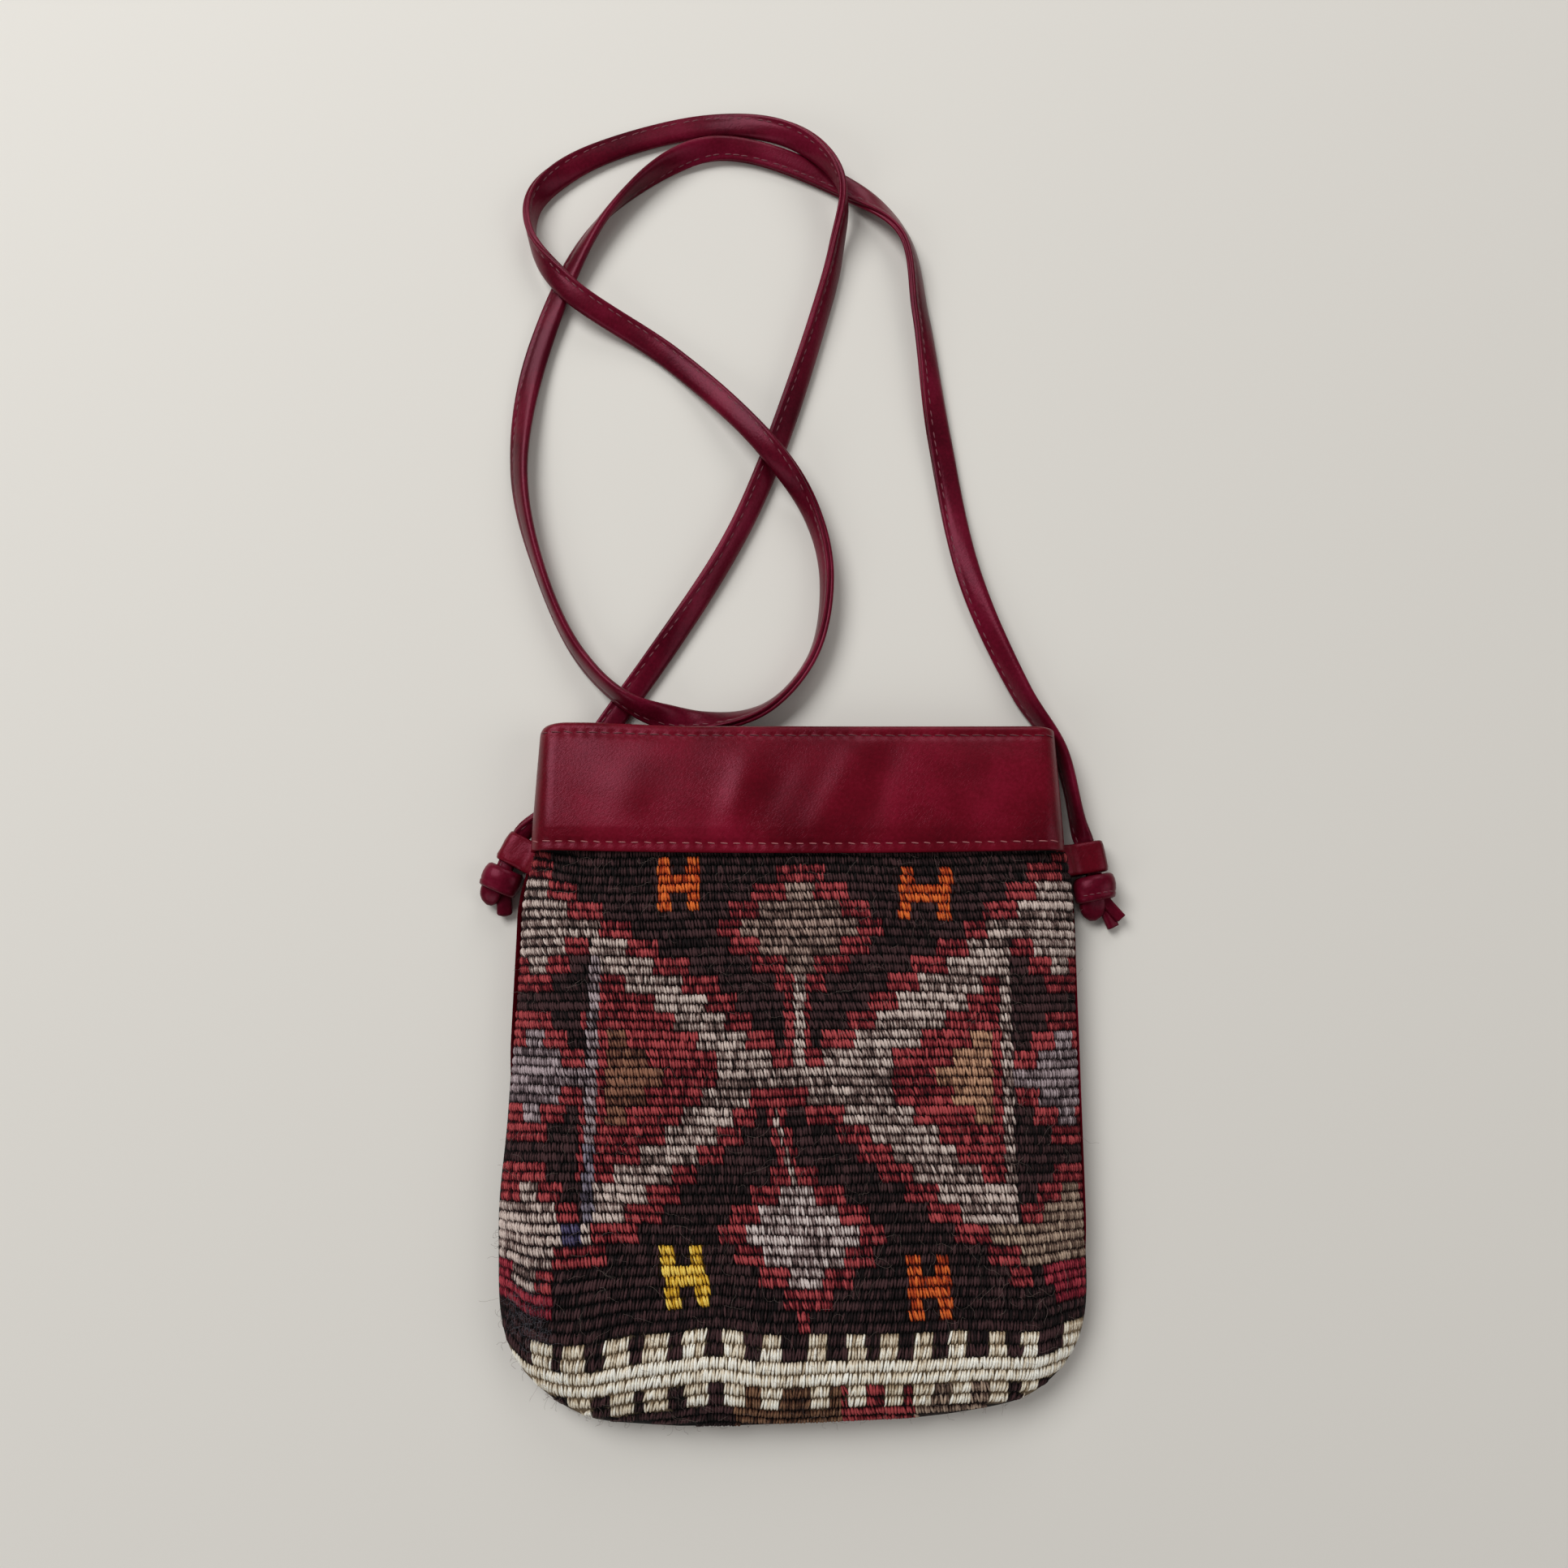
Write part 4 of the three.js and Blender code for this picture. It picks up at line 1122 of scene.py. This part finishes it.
# %% [markdown]
# ### Loose fibres
# Hand-spun wool is hairy. Fine curled fibres stand off the whole face, and longer ones come out of
# the edge at the lower left corner and along the foot.

# %% Scatter loose fibres
EDGE_FIBRE_HEIGHT, FIBRE_ANGLES = 9.0, (0, 2.1, 4.2)
FIBRE_LOW, FIBRE_HIGH, CORNER_HIGH, FOOT_REACH = BOTTOM + 4, BAND_LOW - 1, -50, 70
FUZZ_MIDDLE, FUZZ_SPREAD, FUZZ_SHARES = -74, 5, (0.84, 0.97)
FACE_INSET, EDGE_INSET = 3.0, 2.4
KILIM_FLAT = (0.186, 0.184)


def fibre(start, heading, length, curl, radius, lift, count=9):
    angle = heading + np.cumsum(rng.normal(0, curl, count)) + curl * rng.normal() * np.arange(count) / 3
    step = length / count
    x = start[0] + np.append(0, np.cumsum(np.cos(angle) * step))[:count]
    y = start[1] + np.append(0, np.cumsum(np.sin(angle) * step))[:count]
    inside = edge_distance(x, y) > KILIM_INSET
    base = np.where(inside, kilim_face(x, y), EDGE_FIBRE_HEIGHT)
    z = base + lift * np.sin(np.linspace(0.1, np.pi, count)) * rng.uniform(0.3, 1.0)
    line = np.stack([x, y, z, np.zeros(count)], axis=1)
    _, across, over = ribbon_frames(line)
    ring = np.array([(math.cos(a), math.sin(a)) for a in FIBRE_ANGLES]) * radius
    return sweep(line[:, :3], across, over, ring)


def on_face():
    y = rng.uniform(FIBRE_LOW, FIBRE_HIGH)
    return rng.uniform(-1, 1) * float(half_width(y, FACE_INSET)), y


def on_left_edge():
    y = rng.uniform(FIBRE_LOW, CORNER_HIGH)
    return -float(half_width(y, EDGE_INSET)), y


def on_foot():
    x = rng.uniform(-FOOT_REACH, FOOT_REACH)
    share = abs(x) / (WIDEST_WIDTH / 2 - FACE_INSET)
    fall = (CORNER_RISE - FACE_INSET) * (1 - share**CORNER_POWER) ** (1 / CORNER_POWER)
    return x, max(CORNER_START - fall, foot_of(FACE_INSET))


def in_corner():
    y = rng.normal(FUZZ_MIDDLE, FUZZ_SPREAD)
    return -rng.uniform(*FUZZ_SHARES) * float(half_width(y, FACE_INSET)), y


FIBRES = {
    # how many, where, headings in radians, lengths, curl, radius, lift
    "kilim_fibres": [(700, on_face, (0, 6.28), (3, 10), 0.35, 0.03, 0.9),
                     (26, on_left_edge, (2.4, 4.8), (2, 5), 0.5, 0.035, 1.6),
                     (50, on_foot, (3.4, 6.0), (2, 5), 0.5, 0.035, 1.2)],
    "corner_fuzz": [(150, in_corner, (0, 6.28), (2, 7), 0.42, 0.026, 1.0)],
}
FIBRE_WOOLS = {
    "kilim_fibres": ("fibre_wool", (120, 104, 98), (170, 156, 150), (205, 195, 190)),
    "corner_fuzz": ("fuzz_wool", (96, 95, 104), (140, 140, 150), (186, 186, 192)),
}


def scatter(count, place, headings, lengths, *kind):
    return [fibre(place(), rng.uniform(*headings), rng.uniform(*lengths), *kind) for _ in range(count)]


def shown_area(piece, flat):
    """The area of a sheet's one side, and no more than its flat cut has."""
    area = sum(polygon.area for polygon in piece.data.polygons) / 2
    print(f"{piece.name}: {area:.4f} square metres on one side")
    return min(area, flat[0] * flat[1])


for name, kinds in FIBRES.items():
    made = join([one for kind in kinds for one in scatter(*kind)])
    woven_piece(name, *made, make_wool(*FIBRE_WOOLS[name]))
shown_area(kilim_cloth, KILIM_FLAT)

# %% [markdown]
# ## The leather back
# The back is one piece of leather, flat where the bag rests and turned up all round to the seam with
# the woven front. It is the same surface as on the CAD part, with finer steps and soft waves.

# %% Lay the leather back
BACK_FLAT = (0.187, 0.182)
BACK_BODY_ROWS, BACK_NECK_ROWS, FOOT_CROWDING = 70, 40, 1.5
BACK_WAVE, WAVE_INSET, WAVE_RUN = 0.22, 3, 14
BACK_RIPPLE = (9, 31, 40, 13)
# how far the edge is drawn in, and where that starts and its run across and down the bag
LEFT_TUCK, RIGHT_TUCK = (1.4, (70, 16), (-4, 24)), (1.2, (60, 20), (46, 24))
FOOT_TUCK, FOOT_TUCK_RUN = 1.4, (78, 22)


def panel_rows(foot, neck, body_rows, neck_rows):
    """Heights from the foot, where they crowd, by the neck's start to the top of the tuck."""
    body = blend(foot, neck, np.linspace(0, 1, body_rows) ** FOOT_CROWDING)
    return np.concatenate([body, np.linspace(neck, TUCK_TOP, neck_rows)[1:]])


def ripple(x, y, wide, tall, other_wide, other_tall):
    """Crossed soft waves of those lengths."""
    return np.sin(x / wide + y / tall) * np.sin(x / other_wide - y / other_tall)


def back_waves(x, y):
    inner = rolled(edge_distance(x, y) - back_inset(y) - WAVE_INSET, WAVE_RUN)
    return inner * BACK_WAVE * (1 - ripple(x, y, *BACK_RIPPLE))


def edge_tuck(out, down, amount, out_run, down_run):
    return amount * eased(out, *out_run) * eased(down, *down_run)


def tucked_under(points):
    """The back's edge is drawn in under the woven front at both sides and along the foot."""
    x, y, z = settled(points).T
    aside = edge_tuck(-x, -y, *LEFT_TUCK) - edge_tuck(x, -y, *RIGHT_TUCK)
    return xyz(x + aside, y + FOOT_TUCK * eased(-y, *FOOT_TUCK_RUN), z)


back_points, back_faces = panel_body(
    panel_rows(foot_of(0.0), BAND_LOW - LIFT_RUN, BACK_BODY_ROWS, BACK_NECK_ROWS),
    across_columns(PANEL_COLUMNS), lambda y: half_width(y, back_inset(y)),
    back_under, lambda x, y: back_under(x, y) + LEATHER + back_waves(x, y),
)
leather_back = make_piece(
    "leather_back", tucked_under(back_points), back_faces, bag_leather,
    "bag_leather", "leather_back_panel",
)
shown_area(leather_back, BACK_FLAT)

# %% [markdown]
# ## The mouth band
# A strip of leather runs round the mouth. It is folded inwards at the rim, hemmed, and sewn down
# with one row of stitches under the rim and one above its lower edge. The strip is swept as rings
# round the mouth. Its outer face swells a little between the seams, is drawn in at each stitch and
# has a few soft folds on both sides of the middle.

# %% Shape the mouth band
HEM_DEPTH = 14.0
FOLD = 2 * LEATHER + CLEARANCE / 2
BAND_OVERLAP, RIM_MARGIN, LOW_MARGIN = 1.8, 3.6, 2.9
BAND_EDGE = BAND_LOW - BAND_OVERLAP
RIM_SEAM, LOW_SEAM = TOP - RIM_MARGIN, BAND_EDGE + LOW_MARGIN
BAND_PITCH = 3.95
BAND_SWELL, BAND_SINK = 1.15, 0.1
BAND_WAVE, BAND_RIPPLE = 0.1, (5.1, 3.7, 8.3, 6.1)
# how deep the seams draw the leather in, the shares of that everywhere and at each stitch, and how
# far it reaches above and below
SEAM_PULL, STEADY_PULL, STITCH_PULL, SEAM_ABOVE, SEAM_BELOW = 0.46, 0.68, 0.32, 0.9, 1.5
LEFT_DRAW, RIGHT_DRAW = 0.5, 1.3
LEFT_CORNER, RIGHT_CORNER = 4.0, 1.6
RIM_DIP, RIM_DIP_RUN, LOW_RISE, SHIFT_RUN = 1.3, (-72, 40), 1.1, 14
FRONT_STEPS, BACK_STEPS, END_STEPS = 221, 61, 17
FACE_ROWS, BEND_ROWS, HEM_ROWS, INNER_ROWS = 70, 9, 7, 10
FOLD_MIDDLE = 84
SOFT_FOLDS = [
    # place along the band, lean, width, height
    (-18.0, 0.3, 5.0, 0.65), (-6.0, 0.5, 5.0, -0.3), (13.0, 0.45, 5.5, 0.7),
    (26.0, 0.3, 5.0, -0.5), (-52.0, 0.25, 8.0, 0.45), (62.0, -0.2, 9.0, 0.3),
]


def band_relief(x, y):
    share = np.clip((y - BAND_EDGE) / (TOP - BAND_EDGE), 0, 1)
    relief = BAND_SWELL * np.sin(np.pi * share) - BAND_SINK
    for place, lean_x, width, height in SOFT_FOLDS:
        middle = place + lean_x * (y - FOLD_MIDDLE)
        relief = relief + swell(x, height, middle, width) * np.sin(np.pi * share)
    pull = SEAM_PULL * (STEADY_PULL + STITCH_PULL * np.cos(2 * np.pi * x / BAND_PITCH))
    for seam in (RIM_SEAM, LOW_SEAM):
        relief = relief - swell(y, pull, seam, np.where(y > seam, SEAM_ABOVE, SEAM_BELOW))
    return relief + BAND_WAVE * ripple(x, y, *BAND_RIPPLE)


def corner_cut(y, radius):
    over = np.clip(float(y) - (TOP - radius), 0, radius)
    return radius - math.sqrt(radius**2 - over**2)


def band_shift(x, y):
    """The rim dips to the right, and the lower edge rises towards both ends."""
    dip = RIM_DIP * eased(x, *RIM_DIP_RUN) * eased(y, TOP - SHIFT_RUN, SHIFT_RUN)
    return LOW_RISE * (2 * x / MOUTH_WIDTH) ** 2 * (1 - eased(y, BAND_EDGE, SHIFT_RUN)) - dip


def mouth_radius(y):
    down = min((TOP - y) / (TOP - TUCK_TOP), 1)
    return float(blend(RIM_DEPTH, NECK_TOP - MOUTH_LIFT, down)) / 2


def band_ring(inset, y, outer):
    radius = mouth_radius(y)
    flat = float(half_width(y)) - radius
    left = -flat + corner_cut(y, LEFT_CORNER) + LEFT_DRAW
    right = flat - corner_cut(y, RIGHT_CORNER) - RIGHT_DRAW
    arc = np.linspace(np.pi / 2, -np.pi / 2, END_STEPS)[1:-1]
    x = np.concatenate([
        np.linspace(left, right, FRONT_STEPS), right + (radius - inset) * np.cos(arc),
        np.linspace(right, left, BACK_STEPS), left - (radius - inset) * np.cos(arc[::-1]),
    ])
    up = np.concatenate([np.ones(FRONT_STEPS), np.sin(arc), -np.ones(BACK_STEPS), np.sin(arc[::-1])])
    z = MOUTH_LIFT + radius + (radius - inset) * up
    z = z + outer * band_relief(x, y) * np.clip(up, 0, 1)
    return xyz(x, y + band_shift(x, y), z)


bend = FOLD / 2
turns = np.radians(np.linspace(15, 165, BEND_ROWS))
# each ring's inset from the outer face, its height and its share of the face's relief
band_profile = [(0.0, y, 1.0) for y in np.linspace(BAND_EDGE, TOP - bend, FACE_ROWS)]
band_profile += [(bend - bend * math.cos(a), TOP - bend + bend * math.sin(a), 1 - a / math.pi)
                 for a in turns]
band_profile += [(FOLD, y, 0.0) for y in np.linspace(TOP - bend, TOP - HEM_DEPTH, HEM_ROWS)]
band_profile += [(LEATHER, y, 0.0) for y in np.linspace(TOP - HEM_DEPTH, BAND_EDGE, INNER_ROWS)]
band_rings = np.stack([band_ring(*place) for place in band_profile])
band_points = band_rings.reshape(-1, 3)
band_faces = turned_out(
    band_points, grid_faces(*band_rings.shape[:2], close_rows=True, close_columns=True)
)
mouth_band = make_piece(
    "mouth_band", band_points, band_faces, bag_leather, "bag_leather", "leather_mouth_band"
)

# %% [markdown]
# The stitches sit in the drawn-in rows, on the front and on the back.

# %% Stitch the mouth band
BAND_FLAT = (0.366, 0.055)
BAND_STITCH, BAND_STITCH_TURN = (0.23, 1.65, 0.3, 0.24), -6
FIRST_STITCH, LAST_STITCH, END_GAP, THREAD_LIFT = 2.2, 1.2, 0.3, 0.05
PLACE_SPREAD, TURN_SPREAD = 0.08, 3
# one thread in two colours: the rim row is darkened as painted shade, the lower row lightened, partly as
# painted highlight
BAND_SEAMS = {
    "rim_stitches": (RIM_SEAM, "rim_thread", 98, 40, 47),
    "low_stitches": (LOW_SEAM, "sewing_thread", 150, 84, 88),
}


def band_row(y, side):
    radius, half = mouth_radius(y), float(half_width(y))
    left, right = LEFT_DRAW - half, half - RIGHT_DRAW
    x = np.arange(left + FIRST_STITCH, right - LAST_STITCH, BAND_PITCH)
    x = x + rng.normal(0, PLACE_SPREAD, len(x))
    past = np.clip(np.maximum(left + radius - x, x - right + radius), 0, radius - END_GAP) / radius
    up = xyz(np.sign(x) * past, 0, side * np.sqrt(1 - past**2))
    relief = band_relief(x, y) if side > 0 else 0
    z = MOUTH_LIFT + radius + radius * up[:, 2] + side * (relief * np.abs(up[:, 2]) + THREAD_LIFT)
    centre = xyz(x, y + band_shift(x, y), z)
    turn = np.radians(BAND_STITCH_TURN + rng.normal(0, TURN_SPREAD, len(x)))
    along = laid_on(xyz(np.cos(turn), np.sin(turn), 0), up)
    return grains(centre, along, up, *BAND_STITCH)


for name, (y, *thread) in BAND_SEAMS.items():
    rows = join([band_row(y, side) for side in (1, -1)])
    make_piece(name, *rows, make_thread(*thread), "sewing_thread", "leather_mouth_band")
shown_area(mouth_band, BAND_FLAT)

# %% [markdown]
# ## The lining
# A thin cotton pouch lines the bag, from the foot to the hem of the mouth band. Its wall follows the
# back below and the woven front above.

# %% Make the lining
LINING_FLAT = (0.153, 0.372)
LINING, LINING_INSET, LINING_SLACK, LINING_GAP = 0.6, 12.0, 1.4, 0.7
LINING_COLUMNS, LINING_ROWS = 30, 30
NECK_LINING_LOW = NECK_BACK + LEATHER + CLEARANCE
NECK_LINING_HIGH = frame_box("cotton_lining")[1, 2]


def lining_ring(y, columns, wall):
    x = columns * float(half_width(y, LINING_INSET + wall))
    low, high = NECK_LINING_LOW, NECK_LINING_HIGH
    if y <= TUCK_TOP:
        low = back_under(x, y) + LEATHER + LINING_GAP
        high = kilim_under(x, y) - blend(LINING_SLACK, CLEARANCE, kilim_tucked(y))
    return np.vstack([xyz(x, y, low + wall), xyz(x, y, high - wall)[::-1]])


def lining_heights(wall):
    rows = panel_rows(foot_of(LINING_INSET + wall), BAND_LOW - NECK_RUN, LINING_ROWS, LINING_ROWS)
    return np.append(rows, [TUCK_TOP + CLEARANCE, TOP - HEM_DEPTH - CLEARANCE])


lining_columns = across_columns(LINING_COLUMNS)
lining_rings = [lining_ring(y, lining_columns, 0.0) for y in lining_heights(0.0)]
lining_rings += [lining_ring(y, lining_columns, LINING) for y in lining_heights(LINING)[::-1]]
lining_points = np.vstack(lining_rings)
around = 2 * len(lining_columns)
lining_faces = grid_faces(len(lining_rings), around, close_columns=True)
last = (len(lining_rings) - 1) * around
for j in range(len(lining_columns) - 1):
    opposite = around - 1 - j
    lining_faces.append([j, opposite, opposite - 1, j + 1])
    lining_faces.append([last + j, last + j + 1, last + opposite - 1, last + opposite])
cotton, cotton_tree, cotton_shader = new_material("lining_cotton", 0.9)
cotton_weave = add_noise(cotton_tree, size=0.55, longer=(3, 1, 1))
cotton_colour = add_ramp(cotton_tree, cotton_weave, tones((0.3, 0.7), (48, 26, 28), (84, 52, 52)))
set_inputs(cotton_tree, cotton_shader, {"Base_Color": cotton_colour})
lining = make_piece(
    "lining", settled(lining_points), turned_out(lining_points, lining_faces), cotton,
    "lining_cotton", "cotton_lining",
)
shown_area(lining, LINING_FLAT)

# %% [markdown]
# ## Floor and light
# The bag lies on a plain pale floor. One broad soft light from the upper left makes the shading, and
# weaker ones keep the shadows open.

# %% Set the floor and the light
FLOOR_HALF = 3
LIGHTS = {
    # place, target, size, power, colour
    "window": ((-0.95, 1.05, 1.5), (0, 0.1, 0), 1.3, 30, (1.0, 1.0, 0.99)),
    "far_side": ((0.35, 1.5, 0.8), (0, 0.1, 0), 0.8, 5, (1.0, 0.99, 0.98)),
    "near_side": ((-1.0, -0.8, 0.8), (0, 0, 0), 0.8, 3.5, (1.0, 0.99, 0.97)),
    "right_side": ((1.2, -0.1, 0.9), (0, 0.1, 0), 1.0, 4, (1.0, 0.98, 0.95)),
}
ROOM_COLOUR, ROOM_STRENGTH = (1.0, 0.98, 0.96, 1), 0.15
floor_corners = [(x * FLOOR_HALF, y * FLOOR_HALF, 0) for x, y in ((-1, -1), (1, -1), (1, 1), (-1, 1))]
floor_mesh = bpy.data.meshes.new("floor")
floor_mesh.from_pydata(floor_corners, [], [(0, 1, 2, 3)])
floor_finish, _, _ = new_material("floor", 0.75, Base_Color=paint(220, 217, 211))
floor_mesh.materials.append(floor_finish)
floor = bpy.data.objects.new("floor", floor_mesh)
scene.collection.objects.link(floor)


def add_light(name, place, target, size, power, colour):
    data = bpy.data.lights.new(name, "AREA")
    data.shape, data.size, data.energy, data.color = "DISK", size, power, colour
    light = bpy.data.objects.new(name, data)
    light.location = place
    aim = np.array(target) - np.array(place)
    flat = math.hypot(aim[0], aim[1])
    light.rotation_euler = (math.atan2(flat, -aim[2]), 0, math.atan2(aim[1], aim[0]) - math.pi / 2)
    scene.collection.objects.link(light)


for name, values in LIGHTS.items():
    add_light(name, *values)
world = bpy.data.worlds.new("room")
world.use_nodes = True
room = world.node_tree.nodes["Background"]
set_inputs(world.node_tree, room, {"Color": ROOM_COLOUR, "Strength": ROOM_STRENGTH})
scene.world = world
scene.view_settings.view_transform = "Standard"
